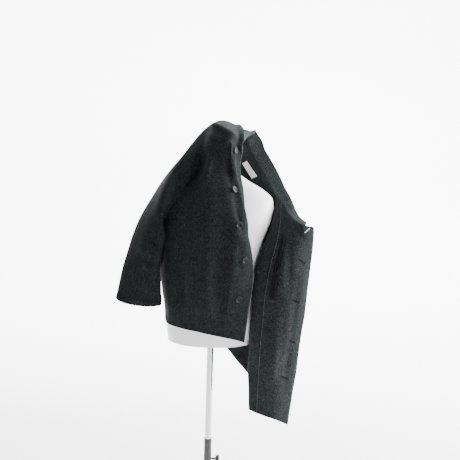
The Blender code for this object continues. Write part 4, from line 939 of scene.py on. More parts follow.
# sleeves stay outside the body with their folds on
for turn in range(2):
    vis["sleeve_r"] = outside_fine(vis["sleeve_r"], [(vis["front_r"], norm["front_r"]), (vis["back"], norm["back"])], 4.0)
    vis["sleeve_l"] = outside_fine(vis["sleeve_l"], [(vis["front_l"], norm["front_l"]), (vis["back"], norm["back"])], 4.0)
for p in ("sleeve_r", "sleeve_l"):
    norm[p] = point_out(normals(vis[p], wrap=True), vis[p], OUT[p][0], np.array(OUT[p][1], float))

# ---------------------------------------------------------------- seams share one direction
seam_pts = []
for p, g in vis.items():
    idx = [(0, j) for j in range(g.shape[1])]
    if p in ("front_r", "front_l", "back"):
        idx += [(i, g.shape[1] - 1) for i in range(1, g.shape[0])]
    if p == "back":
        idx += [(i, 0) for i in range(1, g.shape[0])]
    seam_pts += [(p, i) for i in idx]
kd = KDTree(len(seam_pts))
for k, (p, i) in enumerate(seam_pts):
    kd.insert(Vector(vis[p][i]), k)
kd.balance()
shared = {}
for k, (p, i) in enumerate(seam_pts):
    own = norm[p][i]
    m = own.copy()
    for _, j, dist in kd.find_range(Vector(vis[p][i]), 0.6):
        q, iq = seam_pts[j]
        if q != p:
            m = m + norm[q][iq]
    m = m / max(np.linalg.norm(m), 1e-9)
    if float(np.dot(m, own)) > 0.35:
        shared[p, i] = m / max(float(np.dot(m, own)), 0.7)
for (p, i), m in shared.items():
    norm[p][i] = m


# ---------------------------------------------------------------- meshes
def shell(name, g, n, thick, mat, wrap=False, free=(), sunk=(), out_only=None):
    """A thin closed cloth shell round a mid-surface; free edges are rounded, seams sunk."""
    nv, nu = g.shape[:2]
    half = np.full((nv, nu), thick / 2)
    for side in free:
        d = arc(g, side)
        half = np.minimum(half, thick / 2 * (0.45 + 0.55 * np.clip(d / 1.6, 0, 1) ** 0.5))
    groove = np.zeros((nv, nu))
    for side in sunk:
        d = arc(g, side)
        groove = np.maximum(groove, GROOVE * np.exp(-(d / GROOVE_W) ** 2))
    verts = np.concatenate([(g + n * (half - groove)[..., None]).reshape(-1, 3),
                            (g - n * (half - groove * 0.6)[..., None]).reshape(-1, 3)]) * 0.001
    off = nv * nu
    cols = nu if wrap else nu - 1
    faces = []
    for i in range(nv - 1):
        for j in range(cols):
            k = (j + 1) % nu
            faces.append((i * nu + j, (i + 1) * nu + j, (i + 1) * nu + k, i * nu + k))
            faces.append((off + i * nu + k, off + (i + 1) * nu + k, off + (i + 1) * nu + j, off + i * nu + j))
    for i in (0, nv - 1):
        for j in range(cols):
            k = (j + 1) % nu
            q = (i * nu + j, i * nu + k, off + i * nu + k, off + i * nu + j)
            faces.append(q if i == 0 else q[::-1])
    if not wrap:
        for j in (0, nu - 1):
            for i in range(nv - 1):
                q = (i * nu + j, (i + 1) * nu + j, off + (i + 1) * nu + j, off + i * nu + j)
                faces.append(q[::-1] if j == 0 else q)
    me = bpy.data.meshes.new(name)
    me.from_pydata([tuple(v) for v in verts], [], faces)
    bm = bmesh.new()
    bm.from_mesh(me)
    bmesh.ops.recalc_face_normals(bm, faces=bm.faces)
    bm.to_mesh(me)
    bm.free()
    # true lengths along the cloth, as the uv map named cloth
    uv = me.uv_layers.new(name="cloth")
    down = np.tile(arc(g, "top"), 1).reshape(-1)
    over = arc(g, "left").reshape(-1) if not wrap else np.zeros(nv * nu)
    co = np.stack([np.concatenate([over, over]), np.concatenate([down, down])], axis=1) * 0.001
    loops = np.empty(len(me.loops), dtype=np.int64)
    me.loops.foreach_get("vertex_index", loops)
    uv.data.foreach_set("uv", co[loops].reshape(-1).astype(np.float32))
    o = bpy.data.objects.new(name, me)
    bpy.context.scene.collection.objects.link(o)
    me.materials.append(mat)
    me.shade_smooth()
    me.set_sharp_from_angle(angle=math.radians(75))
    return o


# ---------------------------------------------------------------- places on the pieces
AX = {"front_r": (qv, qu_r), "front_l": (qv, qu_l), "back": (qv, qu_b), "sleeve_r": (qr, qc), "sleeve_l": (qr, qc),
      "collar": (fine_axis(3), qk)}


def place(p, row, col):
    """Points and directions on a piece at places counted in construction rows and columns."""
    rows, cols = AX[p]
    row, col = np.broadcast_arrays(np.asarray(row, float), np.asarray(col, float))
    fi, fj = np.interp(row, rows, np.arange(len(rows))), np.interp(col, cols, np.arange(len(cols)))
    i, j = np.minimum(fi.astype(int), len(rows) - 2), np.minimum(fj.astype(int), len(cols) - 2)
    a, b = (fi - i)[..., None], (fj - j)[..., None]

    def read(x):
        return (x[i, j] * (1 - a) + x[i + 1, j] * a) * (1 - b) + (x[i, j + 1] * (1 - a) + x[i + 1, j + 1] * a) * b

    n = read(norm[p])
    return read(vis[p]), n / np.maximum(np.linalg.norm(n, axis=-1, keepdims=True), 1e-9)


def col_at(p, side, amount, rows):
    """Column that lies amount mm from one side, for every row place."""
    out = []
    cols = AX[p][1]
    for r in rows:
        pts, _ = place(p, np.full(len(cols), r), cols)
        d = np.concatenate([[0], np.cumsum(np.linalg.norm(np.diff(pts, axis=0), axis=1))])
        if side == "right":
            d = d[-1] - d
            out.append(np.interp(amount, d[::-1], cols[::-1]))
        else:
            out.append(np.interp(amount, d, cols))
    return np.array(out)


def row_at(p, amount, cols):
    """Row that lies amount mm up from the bottom, for every column place."""
    out = []
    rows = AX[p][0]
    for c in cols:
        pts, _ = place(p, rows, np.full(len(rows), c))
        d = np.concatenate([[0], np.cumsum(np.linalg.norm(np.diff(pts, axis=0), axis=1))])
        d = d[-1] - d
        out.append(np.interp(amount, d[::-1], rows[::-1]))
    return np.array(out)


def tree_of(g):
    nu = g.shape[1]
    cells = [(i * nu + j, (i + 1) * nu + j, (i + 1) * nu + j + 1, i * nu + j + 1)
             for i in range(g.shape[0] - 1) for j in range(nu - 1)]
    return BVHTree.FromPolygons([Vector(v) for v in g.reshape(-1, 3)], cells)


def sight(g, n, tree, across, up):
    """Where the line of sight through a place meets a surface, and the direction towards the eye's side."""
    eye = Vector(EYE)
    hit, _, cell, _ = tree.ray_cast(eye, (Vector(seen(across, up, 0)) - eye).normalized())
    if hit is None:
        return None
    r, c = divmod(cell, g.shape[1] - 1)
    m = n[r, c] + n[r + 1, c] + n[r, c + 1] + n[r + 1, c + 1]
    m = m / np.linalg.norm(m)
    if float(np.dot(m, np.array(EYE) - np.array(hit))) < 0:
        m = -m
    return np.array(hit), m


def sight_path(g, n, tree, path, step=3.0):
    pts, dirs = [], []
    path = np.array(path, float)
    for a, b in zip(path, path[1:]):
        for t in np.arange(0, 1, step / max(np.linalg.norm(b - a), 1e-6)):
            s = sight(g, n, tree, *(a + (b - a) * t))
            if s is not None:
                pts.append(s[0])
                dirs.append(s[1])
    return np.array(pts), np.array(dirs)


# ---------------------------------------------------------------- small pieces
def link(name, verts, faces, mat, smooth=True, angle=60):
    me = bpy.data.meshes.new(name)
    me.from_pydata([tuple(float(c) * 0.001 for c in v) for v in verts], [], faces)
    bm = bmesh.new()
    bm.from_mesh(me)
    bmesh.ops.recalc_face_normals(bm, faces=bm.faces)
    bm.to_mesh(me)
    bm.free()
    o = bpy.data.objects.new(name, me)
    bpy.context.scene.collection.objects.link(o)
    me.materials.append(mat)
    if smooth:
        me.shade_smooth()
        me.set_sharp_from_angle(angle=math.radians(angle))
    return o


def capsule(verts, faces, a, b, up, r, lift=0.0, sides=6):
    """A short thread between two points, thickest in the middle."""
    a, b, up = np.array(a), np.array(b), np.array(up)
    t = b - a
    ln = np.linalg.norm(t)
    if ln < 1e-6:
        return
    t = t / ln
    x = np.cross(t, up)
    x = x / max(np.linalg.norm(x), 1e-9)
    y = np.cross(x, t)
    start = len(verts)
    rows = [(0.0, 0.25, -0.3), (0.12, 0.8, 0.1), (0.5, 1.0, 0.45), (0.88, 0.8, 0.1), (1.0, 0.25, -0.3)]
    for f, k, h in rows:
        for s in range(sides):
            w = 2 * math.pi * s / sides
            verts.append(a + t * ln * f + y * (lift + r * h) + (x * math.cos(w) + y * math.sin(w)) * r * k)
    for q in range(len(rows) - 1):
        for s in range(sides):
            n = (s + 1) % sides
            faces.append((start + q * sides + s, start + q * sides + n, start + (q + 1) * sides + n, start + (q + 1) * sides + s))
    faces.append(tuple(start + s for s in range(sides))[::-1])
    faces.append(tuple(start + (len(rows) - 1) * sides + s for s in range(sides)))


def stitches(name, runs, mat, pitch=3.6, length=2.5, r=0.33, lift=0.0):
    """Rows of separate stitches; every run is (points, directions) along a line on the cloth."""
    verts, faces = [], []
    for pts, dirs in runs:
        if len(pts) < 2:
            continue
        s = np.concatenate([[0], np.cumsum(np.linalg.norm(np.diff(pts, axis=0), axis=1))])
        n = int(s[-1] / pitch)
        for k in range(n):
            a, b = (k + 0.15) * pitch, (k + 0.15) * pitch + length
            pa = np.array([np.interp(a, s, pts[:, i]) for i in range(3)])
            pb = np.array([np.interp(b, s, pts[:, i]) for i in range(3)])
            d = np.array([np.interp((a + b) / 2, s, dirs[:, i]) for i in range(3)])
            capsule(verts, faces, pa, pb, d / np.linalg.norm(d), r, lift)
    return link(name, verts, faces, mat)


def offset_run(p, rows, cols, off, sign=1.0):
    pts, n = place(p, rows, cols)
    return pts + n * sign * off, n * sign


# ---------------------------------------------------------------- materials
def base_material(name):
    m = bpy.data.materials.new(name)
    m.use_nodes = True
    nt = m.node_tree
    return m, nt, nt.nodes["Principled BSDF"]


def add(nt, kind, **values):
    n = nt.nodes.new(kind)
    for k, v in values.items():
        if k in n.inputs:
            n.inputs[k].default_value = v
        else:
            setattr(n, k, v)
    return n


def noise(nt, where, scale, detail=3.0, rough=0.6, stretch=None):
    n = nt.nodes.new("ShaderNodeTexNoise")
    n.inputs["Scale"].default_value = scale
    n.inputs["Detail"].default_value = detail
    n.inputs["Roughness"].default_value = rough
    if stretch:
        mp = nt.nodes.new("ShaderNodeMapping")
        mp.inputs["Scale"].default_value = stretch
        nt.links.new(where, mp.inputs["Vector"])
        nt.links.new(mp.outputs["Vector"], n.inputs["Vector"])
    else:
        nt.links.new(where, n.inputs["Vector"])
    return n.outputs["Fac"] if "Fac" in n.outputs else n.outputs[0]


def ramp(nt, fac, stops):
    r = nt.nodes.new("ShaderNodeValToRGB")
    while len(r.color_ramp.elements) > len(stops):
        r.color_ramp.elements.remove(r.color_ramp.elements[-1])
    while len(r.color_ramp.elements) < len(stops):
        r.color_ramp.elements.new(0.5)
    for e, (at, rgb) in zip(r.color_ramp.elements, stops):
        e.position = at
        e.color = (*rgb, 1.0)
    nt.links.new(fac, r.inputs["Fac"])
    return r.outputs["Color"]


def mix(nt, a, b, fac, mode="MIX"):
    n = nt.nodes.new("ShaderNodeMix")
    n.data_type = "RGBA"
    n.blend_type = mode
    if isinstance(fac, float):
        n.inputs[0].default_value = fac
    else:
        nt.links.new(fac, n.inputs[0])
    nt.links.new(a, n.inputs[6])
    nt.links.new(b, n.inputs[7])
    return n.outputs[2]


def total(nt, parts):
    """Weighted sum of grey values."""
    out = None
    for sock, w in parts:
        m = nt.nodes.new("ShaderNodeMath")
        m.operation = "MULTIPLY"
        nt.links.new(sock, m.inputs[0])
        m.inputs[1].default_value = w
        if out is None:
            out = m.outputs[0]
        else:
            a = nt.nodes.new("ShaderNodeMath")
            a.operation = "ADD"
            nt.links.new(out, a.inputs[0])
            nt.links.new(m.outputs[0], a.inputs[1])
            out = a.outputs[0]
    return out


def wool_melton(name, deep, pale, sheen=0.02, tint=(0.80, 0.81, 0.82)):
    """Felted heathered wool: dark ground, paler fibres lying every way, a short nap."""
    m, nt, b = base_material(name)
    where = nt.nodes.new("ShaderNodeTexCoord").outputs["Object"]
    clouds = noise(nt, where, 26, 3, 0.6)
    felt = noise(nt, where, 330, 5, 0.72)
    fibre_a = noise(nt, where, 620, 3, 0.7, (1.0, 1.0, 0.22))
    fibre_b = noise(nt, where, 560, 3, 0.7, (0.25, 1.0, 1.0))
    fleck = noise(nt, where, 1500, 2, 0.6)
    heather = total(nt, [(felt, 0.42), (fibre_a, 0.26), (fibre_b, 0.22), (fleck, 0.10)])
    mid = tuple((x + y) / 2 * 0.9 for x, y in zip(deep, pale))
    ground = ramp(nt, heather, [(0.41, deep), (0.5, mid), (0.58, pale), (0.66, tuple(c * 2.4 for c in pale))])
    shade = ramp(nt, clouds, [(0.3, (0.78, 0.78, 0.79)), (0.7, (1.0, 1.0, 1.0))])
    nt.links.new(mix(nt, ground, shade, 1.0, "MULTIPLY"), b.inputs["Base Color"])
    rough = ramp(nt, felt, [(0.3, (0.86, 0.86, 0.86)), (0.7, (0.98, 0.98, 0.98))])
    nt.links.new(rough, b.inputs["Roughness"])
    b.inputs["Specular IOR Level"].default_value = 0.04
    b.inputs["Sheen Weight"].default_value = sheen
    b.inputs["Sheen Roughness"].default_value = 0.45
    b.inputs["Sheen Tint"].default_value = (*tint, 1.0)
    bump = add(nt, "ShaderNodeBump", Strength=0.55, Distance=0.0009)
    nt.links.new(total(nt, [(felt, 0.9), (fibre_a, 0.35), (fibre_b, 0.3), (fleck, 0.15)]), bump.inputs["Height"])
    nt.links.new(bump.outputs["Normal"], b.inputs["Normal"])
    return m


def thread_material(name, rgb):
    m, nt, b = base_material(name)
    where = nt.nodes.new("ShaderNodeTexCoord").outputs["Object"]
    twist = noise(nt, where, 2400, 2, 0.5, (1.0, 1.0, 0.4))
    nt.links.new(ramp(nt, twist, [(0.3, tuple(c * 0.6 for c in rgb)), (0.7, rgb)]), b.inputs["Base Color"])
    b.inputs["Roughness"].default_value = 0.8
    b.inputs["Specular IOR Level"].default_value = 0.1
    bump = add(nt, "ShaderNodeBump", Strength=0.4, Distance=0.0002)
    nt.links.new(twist, bump.inputs["Height"])
    nt.links.new(bump.outputs["Normal"], b.inputs["Normal"])
    return m


def satin_shell(name, rgb, rough):
    """Painted shell of the form: even satin with a faint orange peel."""
    m, nt, b = base_material(name)
    where = nt.nodes.new("ShaderNodeTexCoord").outputs["Object"]
    peel = noise(nt, where, 420, 3, 0.5)
    soft = noise(nt, where, 9, 3, 0.6)
    nt.links.new(ramp(nt, soft, [(0.3, tuple(c * 0.955 for c in rgb)), (0.7, rgb)]), b.inputs["Base Color"])
    nt.links.new(ramp(nt, soft, [(0.3, (rough, rough, rough)), (0.7, (rough + 0.08,) * 3)]), b.inputs["Roughness"])
    bump = add(nt, "ShaderNodeBump", Strength=0.12, Distance=0.0004)
    nt.links.new(peel, bump.inputs["Height"])
    nt.links.new(bump.outputs["Normal"], b.inputs["Normal"])
    return m


def label_cloth(name, rgb):
    """Woven label: fine warp and weft."""
    m, nt, b = base_material(name)
    co = nt.nodes.new("ShaderNodeTexCoord").outputs["UV"]
    w1 = add(nt, "ShaderNodeTexWave", Scale=520.0)
    w1.bands_direction = "X"
    w2 = add(nt, "ShaderNodeTexWave", Scale=520.0)
    w2.bands_direction = "Y"
    nt.links.new(co, w1.inputs["Vector"])
    nt.links.new(co, w2.inputs["Vector"])
    weave = total(nt, [(w1.outputs["Fac"], 0.5), (w2.outputs["Fac"], 0.5)])
    nt.links.new(ramp(nt, weave, [(0.2, tuple(c * 0.86 for c in rgb)), (0.8, rgb)]), b.inputs["Base Color"])
    b.inputs["Roughness"].default_value = 0.75
    b.inputs["Sheen Weight"].default_value = 0.2
    bump = add(nt, "ShaderNodeBump", Strength=0.4, Distance=0.0003)
    nt.links.new(weave, bump.inputs["Height"])
    nt.links.new(bump.outputs["Normal"], b.inputs["Normal"])
    return m


def horn_material(name, rgb):
    m, nt, b = base_material(name)
    where = nt.nodes.new("ShaderNodeTexCoord").outputs["Object"]
    grain = noise(nt, where, 240, 4, 0.6, (1.0, 1.0, 0.3))
    nt.links.new(ramp(nt, grain, [(0.35, tuple(c * 0.6 for c in rgb)), (0.7, tuple(c * 1.7 for c in rgb))]),
                 b.inputs["Base Color"])
    nt.links.new(ramp(nt, grain, [(0.3, (0.32, 0.32, 0.32)), (0.7, (0.44, 0.44, 0.44))]), b.inputs["Roughness"])
    b.inputs["Specular IOR Level"].default_value = 0.18
    return m


def metal_material(name, rgb, rough, metallic=1.0):
    m, nt, b = base_material(name)
    where = nt.nodes.new("ShaderNodeTexCoord").outputs["Object"]
    brush = noise(nt, where, 180, 3, 0.6, (1.0, 1.0, 0.04))
    nt.links.new(ramp(nt, brush, [(0.3, tuple(c * 0.93 for c in rgb)), (0.7, rgb)]), b.inputs["Base Color"])
    nt.links.new(ramp(nt, brush, [(0.3, (rough * 0.8,) * 3), (0.7, (rough * 1.25,) * 3)]), b.inputs["Roughness"])
    b.inputs["Metallic"].default_value = metallic
    bump = add(nt, "ShaderNodeBump", Strength=0.05, Distance=0.0003)
    nt.links.new(brush, bump.inputs["Height"])
    nt.links.new(bump.outputs["Normal"], b.inputs["Normal"])
    return m


def powder_black(name):
    m, nt, b = base_material(name)
    where = nt.nodes.new("ShaderNodeTexCoord").outputs["Object"]
    grit = noise(nt, where, 1400, 3, 0.6)
    nt.links.new(ramp(nt, grit, [(0.3, (0.012, 0.012, 0.013)), (0.7, (0.03, 0.03, 0.031))]), b.inputs["Base Color"])
    nt.links.new(ramp(nt, grit, [(0.3, (0.42, 0.42, 0.42)), (0.7, (0.58, 0.58, 0.58))]), b.inputs["Roughness"])
    bump = add(nt, "ShaderNodeBump", Strength=0.25, Distance=0.0003)
    nt.links.new(grit, bump.inputs["Height"])
    nt.links.new(bump.outputs["Normal"], b.inputs["Normal"])
    return m


DEEP, PALE = (0.0030, 0.0036, 0.0038), (0.040, 0.046, 0.0465)
# The melton's tones are scaled piece by piece as painted light and shade, not a difference in the cloth, which is one
# colour throughout. The collar (1.9) is painted lighter as if lit from above. The left front, back and facing (1.1 to
# 1.15) are a little lighter. The right front (0.78), right sleeve (0.68) and pocket welt (0.62) are painted darker as
# if in shade.
wool = {p: wool_melton("melton_" + p, tuple(c * k for c in DEEP), tuple(c * k for c in PALE))
        for p, k in (("front_r", 0.78), ("front_l", 1.1), ("back", 1.1), ("sleeve_r", 0.68), ("sleeve_l", 1.0),
                     ("collar", 1.9), ("facing", 1.15), ("welt", 0.62))}
thread_dark = thread_material("thread_dark", (0.006, 0.0062, 0.0065))
thread_pale = thread_material("thread_pale", (0.26, 0.265, 0.27))
# near black: painted shade standing for the shadowed opening of the buttonhole slits
cut_dark = thread_material("cut_dark", (0.0012, 0.0012, 0.0013))
# the turned front edges: the melton painted about three times paler, a painted highlight along their rims
edge_wool_painted_highlight = wool_melton("melton_edge", tuple(c * 3.0 for c in DEEP), tuple(c * 3.4 for c in PALE))
thread_white = thread_material("thread_white", (0.75, 0.75, 0.75))
horn_dark = horn_material("button_horn", (0.0115, 0.0125, 0.013))
label_mat = label_cloth("label_cream", (0.88, 0.87, 0.85))
form_mat = satin_shell("form_white", (0.92, 0.92, 0.915), 0.38)
cap_mat = satin_shell("cap_white", (0.88, 0.88, 0.87), 0.30)
chrome_mat = metal_material("pole_chrome", (0.52, 0.53, 0.545), 0.10)
black_mat = powder_black("stand_black")

# ---------------------------------------------------------------- the cloth pieces
made = {}
SHELLS = [("front_r", "cloth_front_right", "jacket_front_right", ("left", "bottom"), ("top", "right")),
          ("front_l", "cloth_front_left", "jacket_front_left", ("left", "bottom"), ("top", "right")),
          ("back", "cloth_back", "jacket_back", ("bottom",), ("top", "left", "right")),
          ("sleeve_r", "cloth_sleeve_right", "jacket_sleeve_right", ("bottom",), ("top",)),
          ("sleeve_l", "cloth_sleeve_left", "jacket_sleeve_left", ("bottom",), ("top",)),
          ("collar", "cloth_collar", "jacket_collar", ("bottom", "left", "right"), ("top",))]
for p, name, node, free, sunk in SHELLS:
    made[p] = shell(name, vis[p], norm[p], CLOTH, wool[p], wrap=p.startswith("sleeve"), free=free, sunk=sunk)
    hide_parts(node)
    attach(made[p], "form")


def flat_of(g, wrap=False):
    """Longest row, longest column and the area of a grid, in metres."""
    q = np.concatenate([g, g[:, :1]], axis=1) if wrap else g
    w = np.linalg.norm(np.diff(q, axis=1), axis=2).sum(axis=1)
    h = np.linalg.norm(np.diff(g, axis=0), axis=2).sum(axis=0)
    cell = np.linalg.norm(np.cross(q[1:, 1:] - q[:-1, :-1], q[1:, :-1] - q[:-1, 1:]), axis=2) / 2
    return float(w.max()) * 0.001, float(h.max()) * 0.001, float(cell.sum()) * 1e-6


# facing on the left front's inside
cut = int(np.searchsorted(qu_l, 7.0 + 1e-6))
OFF_F = CLOTH / 2 + FACING / 2 + 0.12
g_fa = vis["front_l"][:, :cut] - norm["front_l"][:, :cut] * OFF_F
n_fa2 = -norm["front_l"][:, :cut]
for side, amount in (("top", 1.2), ("bottom", 1.6), ("left", 0.7)):
    g_fa = draw_in(g_fa, side, amount)
made["facing"] = shell("cloth_facing_left", g_fa, n_fa2, FACING, wool["facing"], free=("left", "right", "bottom"),
                       sunk=("top",))
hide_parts("jacket_facing_left")
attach(made["facing"], "form")


# pocket welt
def welt_grid(u0, u1, v0, v1, nu, nv, off):
    us, vs = np.linspace(u0, u1, nu), np.linspace(v0, v1, nv)
    cols = np.interp(us, uq_l, np.arange(len(uq_l)))
    rows = np.interp(vs, vq_l, np.arange(len(vq_l)))
    pts, n = place("front_l", rows[:, None], cols[None, :])
    return pts - n * off, -n


OFF_W = CLOTH / 2 + FACING + 0.9 + 1.1
g_we, n_we = welt_grid(0.345, 0.420, 0.095, 0.375, 41, 90, OFF_W)
# two narrow lips with the pocket's slit between them and a pressed line outside each
over = np.linspace(0, 1, 41)[None, :]
lips = 1.7 * np.exp(-((over - 0.32) / 0.09) ** 2) + 1.7 * np.exp(-((over - 0.68) / 0.09) ** 2)
lips = lips - 2.4 * np.exp(-((over - 0.5) / 0.05) ** 2) - 1.6 * np.exp(-((over - 0.12) / 0.045) ** 2) \
    - 1.6 * np.exp(-((over - 0.88) / 0.045) ** 2)
ends = np.clip(np.minimum(np.linspace(0, 90, 90), np.linspace(90, 0, 90)) / 4, 0, 1)[:, None]
g_we = g_we + n_we * (lips * ends)[..., None]
made["welt"] = shell("cloth_pocket_welt", g_we, n_we, 2.2, wool["welt"], free=("top", "bottom", "left", "right"))
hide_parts("jacket_pocket_welt")
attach(made["welt"], "form")

# neck label
tree_b = tree_of(vis["back"])
LABEL = [(97, 1420), (113, 1429), (133, 1367), (152, 1376)]
nl_v, nl_u = 40, 14
g_la, n_la = np.zeros((nl_v, nl_u, 3)), np.zeros((nl_v, nl_u, 3))
for i, f in enumerate(np.linspace(0, 1, nl_v)):
    for j, h in enumerate(np.linspace(0, 1, nl_u)):
        a = np.array(LABEL[0]) * (1 - h) + np.array(LABEL[1]) * h
        b = np.array(LABEL[2]) * (1 - h) + np.array(LABEL[3]) * h
        s = sight(vis["back"], norm["back"], tree_b, *(a * (1 - f) + b * f))
        g_la[i, j], n_la[i, j] = s
n_mean = n_la.reshape(-1, 3).mean(axis=0)
n_la[:] = n_mean / np.linalg.norm(n_mean)
puff = np.sin(np.linspace(0, math.pi, nl_v))[:, None] * 1.2
g_la = g_la + n_la * (CLOTH / 2 + 0.9 + puff[..., None])
made["label"] = shell("cloth_neck_label", g_la, n_la, 0.8, label_mat, free=("top", "bottom", "left", "right"))
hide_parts("jacket_neck_label")
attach(made["label"], "form")

# ---------------------------------------------------------------- stitching
T = 60
top_free = np.linspace(0.1, ROWS - 0.05, 160)
runs_dark, runs_pale = [], []
H = CLOTH / 2 + 0.02
c = col_at("front_r", "left", 6.0, top_free)
runs_dark.append(offset_run("front_r", top_free, c, H))
cols = np.linspace(0.15, COLS_R - 0.1, T)
runs_dark.append(offset_run("front_r", row_at("front_r", 22.0, cols), cols, H))
cols = np.linspace(0.1, COLS_B - 0.1, T)
runs_dark.append(offset_run("back", row_at("back", 22.0, cols), cols, H))
cols = np.linspace(0.1, COLS_L - 0.1, T)
runs_dark.append(offset_run("front_l", row_at("front_l", 22.0, cols), cols, H))
runs_dark.append(offset_run("front_l", row_at("front_l", 22.0, np.linspace(7.2, COLS_L - 0.1, T)),
                            np.linspace(7.2, COLS_L - 0.1, T), H, -1.0))
c = col_at("front_l", "left", 6.0, top_free)
runs_dark.append(offset_run("front_l", top_free, c, H))
HF = CLOTH / 2 + FACING + 0.14
runs_pale.append(offset_run("front_l", top_free, c, HF, -1.0))
c = np.full(len(top_free), 6.86)
runs_pale.append(offset_run("front_l", top_free, c, HF, -1.0))
cols = np.linspace(0.25, 6.8, T)
runs_dark.append(offset_run("front_l", row_at("front_l", 22.0, cols), cols, HF, -1.0))
for s in ("sleeve_r", "sleeve_l"):
    cols = np.linspace(0, RING - 1.0 / F - 0.01, 90)
    runs_dark.append(offset_run(s, row_at(s, 24.0, cols), cols, H))
cols = np.linspace(0.35, COLLAR_N - 0.35, 160)
runs_pale.append(offset_run("collar", np.full(len(cols), 2.5), cols, H))
runs_dark.append(offset_run("collar", np.full(len(cols), 2.5), cols, H, -1.0))
made["stitch_dark"] = stitches("stitching_dark", runs_dark, thread_dark)
made["stitch_pale"] = stitches("stitching_pale", runs_pale, thread_pale, r=0.4)


# ---------------------------------------------------------------- turned edges
def bead(name, pts, dirs, r_wide, r_thick, mat, sides=12):
    """A rounded turned edge along a line: an oval cord of cloth."""
    pts, dirs = np.array(pts), np.array(dirs)
    t = np.gradient(pts, axis=0)
    t /= np.maximum(np.linalg.norm(t, axis=1, keepdims=True), 1e-9)
    y = dirs - t * (dirs * t).sum(axis=1, keepdims=True)
    y /= np.maximum(np.linalg.norm(y, axis=1, keepdims=True), 1e-9)
    x = np.cross(t, y)
    n = len(pts)
    end = np.clip(np.minimum(np.arange(n), n - 1 - np.arange(n)) / 3.0, 0.25, 1.0)
    verts, faces = [], []
    for k in range(n):
        for s in range(sides):
            w = 2 * math.pi * s / sides
            verts.append(pts[k] + (x[k] * math.cos(w) * r_wide + y[k] * math.sin(w) * r_thick) * end[k])
    for k in range(n - 1):
        for s in range(sides):
            m = (s + 1) % sides
            faces.append((k * sides + s, k * sides + m, (k + 1) * sides + m, (k + 1) * sides + s))
    faces.append(tuple(range(sides))[::-1])
    faces.append(tuple((n - 1) * sides + s for s in range(sides)))
    return link(name, verts, faces, mat)


# the edge beads use the paler melton: a painted highlight along the front edges, not a different cloth
rows_e = np.linspace(0.06, ROWS - 0.02, 260)
pts, n = place("front_r", rows_e, np.full(len(rows_e), 0.03))
made["edge_r"] = bead("edge_front_right", pts, n, 2.0, 2.3, edge_wool_painted_highlight)
pts, n = place("front_l", rows_e, np.full(len(rows_e), 0.04))
made["edge_l"] = bead("edge_front_left", pts - n * (FACING / 2 + 0.2), n, 1.6, 2.7, edge_wool_painted_highlight)
for key in ("edge_r", "edge_l"):
    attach(made[key], "form")

# welt's two rows and the pocket bag's lines on the inside
tree_l = tree_of(vis["front_l"])
runs = []
for f in (0.2, 0.8):
    k = int(round(f * 40))
    runs.append((g_we[3:-3, k] + n_we[3:-3, k] * 1.12, n_we[3:-3, k]))
pts, dirs = sight_path(vis["front_l"], norm["front_l"], tree_l, [(186, 916), (212, 917), (262, 915), (292, 912)])
runs.append((pts + dirs * HF, dirs))
made["stitch_pocket"] = stitches("stitching_pocket", runs, thread_dark)
# label ends
runs = []
for k in (1, nl_v - 2):
    runs.append((g_la[k, 1:-1] + n_la[k, 1:-1] * 0.42, n_la[k, 1:-1]))
made["stitch_label"] = stitches("stitching_label", runs, thread_dark, pitch=2.6, length=1.7, r=0.22)
for key in ("stitch_dark", "stitch_pale", "stitch_pocket", "stitch_label"):
    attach(made[key], "form")


# ---------------------------------------------------------------- buttonholes
def buttonhole(name, start, end, mat, above=HF, r=0.75):
    """A worked slit: two close rows of thread round the cut, laid on the left front's inside; the cut is a strip
    painted near black as the slit's shade, white on the white-worked hole.
    """
    a = sight(vis["front_l"], norm["front_l"], tree_l, *start)
    b = sight(vis["front_l"], norm["front_l"], tree_l, *end)
    if a is None or b is None:
        return None
    n = (a[1] + b[1]) / 2
    n = n / np.linalg.norm(n)
    t = b[0] - a[0]
    ln = np.linalg.norm(t)
    t = t / ln
    w = np.cross(n, t)
    mid = (a[0] + b[0]) / 2

    def on(q):
        hit = tree_l.find_nearest(Vector(q))[0]
        return np.array(hit)

    verts, faces = [], []
    ring = []
    m = 44
    for k in range(m):
        s = 2 * math.pi * k / m
        x = math.copysign(abs(math.cos(s)) ** 0.5, math.cos(s)) * ln / 2
        y = math.sin(s) * 1.7 * (1 + 0.25 * (x > ln * 0.36))
        ring.append(on(mid + t * x + w * y) + n * above)
    # the cut between the rows of thread, a strip painted near black as the slit's shade
    cut_v, cut_f = [], []
    for k in range(12):
        x0, x1 = -0.46 + 0.92 * k / 12, -0.46 + 0.92 * (k + 1) / 12
        capsule(cut_v, cut_f, on(mid + t * ln * x0) + n * (above + 0.1), on(mid + t * ln * x1) + n * (above + 0.1), n, 1.25, -0.45)
    core = link(name + "_cut", cut_v, cut_f, cut_dark if mat is not thread_white else thread_white)
    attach(core, "form")
    for k in range(m):
        p, q = ring[k], ring[(k + 1) % m]
        side = (p + q) / 2 - mid
        side = side - t * float(np.dot(side, t))
        o = side / max(np.linalg.norm(side), 1e-9)
        capsule(verts, faces, (p + q) / 2 - o * 1.0, (p + q) / 2 + o * 1.0, n, 0.5, 0.12)
        capsule(verts, faces, p, q, n, r * 0.8, 0.0)
    return link(name, verts, faces, mat)


HOLES = [((309, 1082), (335, 1064)), ((294, 928), (320, 922)), ((286, 776), (312, 766)), ((266, 636), (292, 625)),
         ((326, 1179), (345, 1196))]
for k, (a, b) in enumerate(HOLES):
    o = buttonhole("buttonhole_%d" % (k + 1), a, b, thread_white if k == 4 else thread_dark)
    if o is not None:
        made["hole_%d" % k] = o
        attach(o, "form")


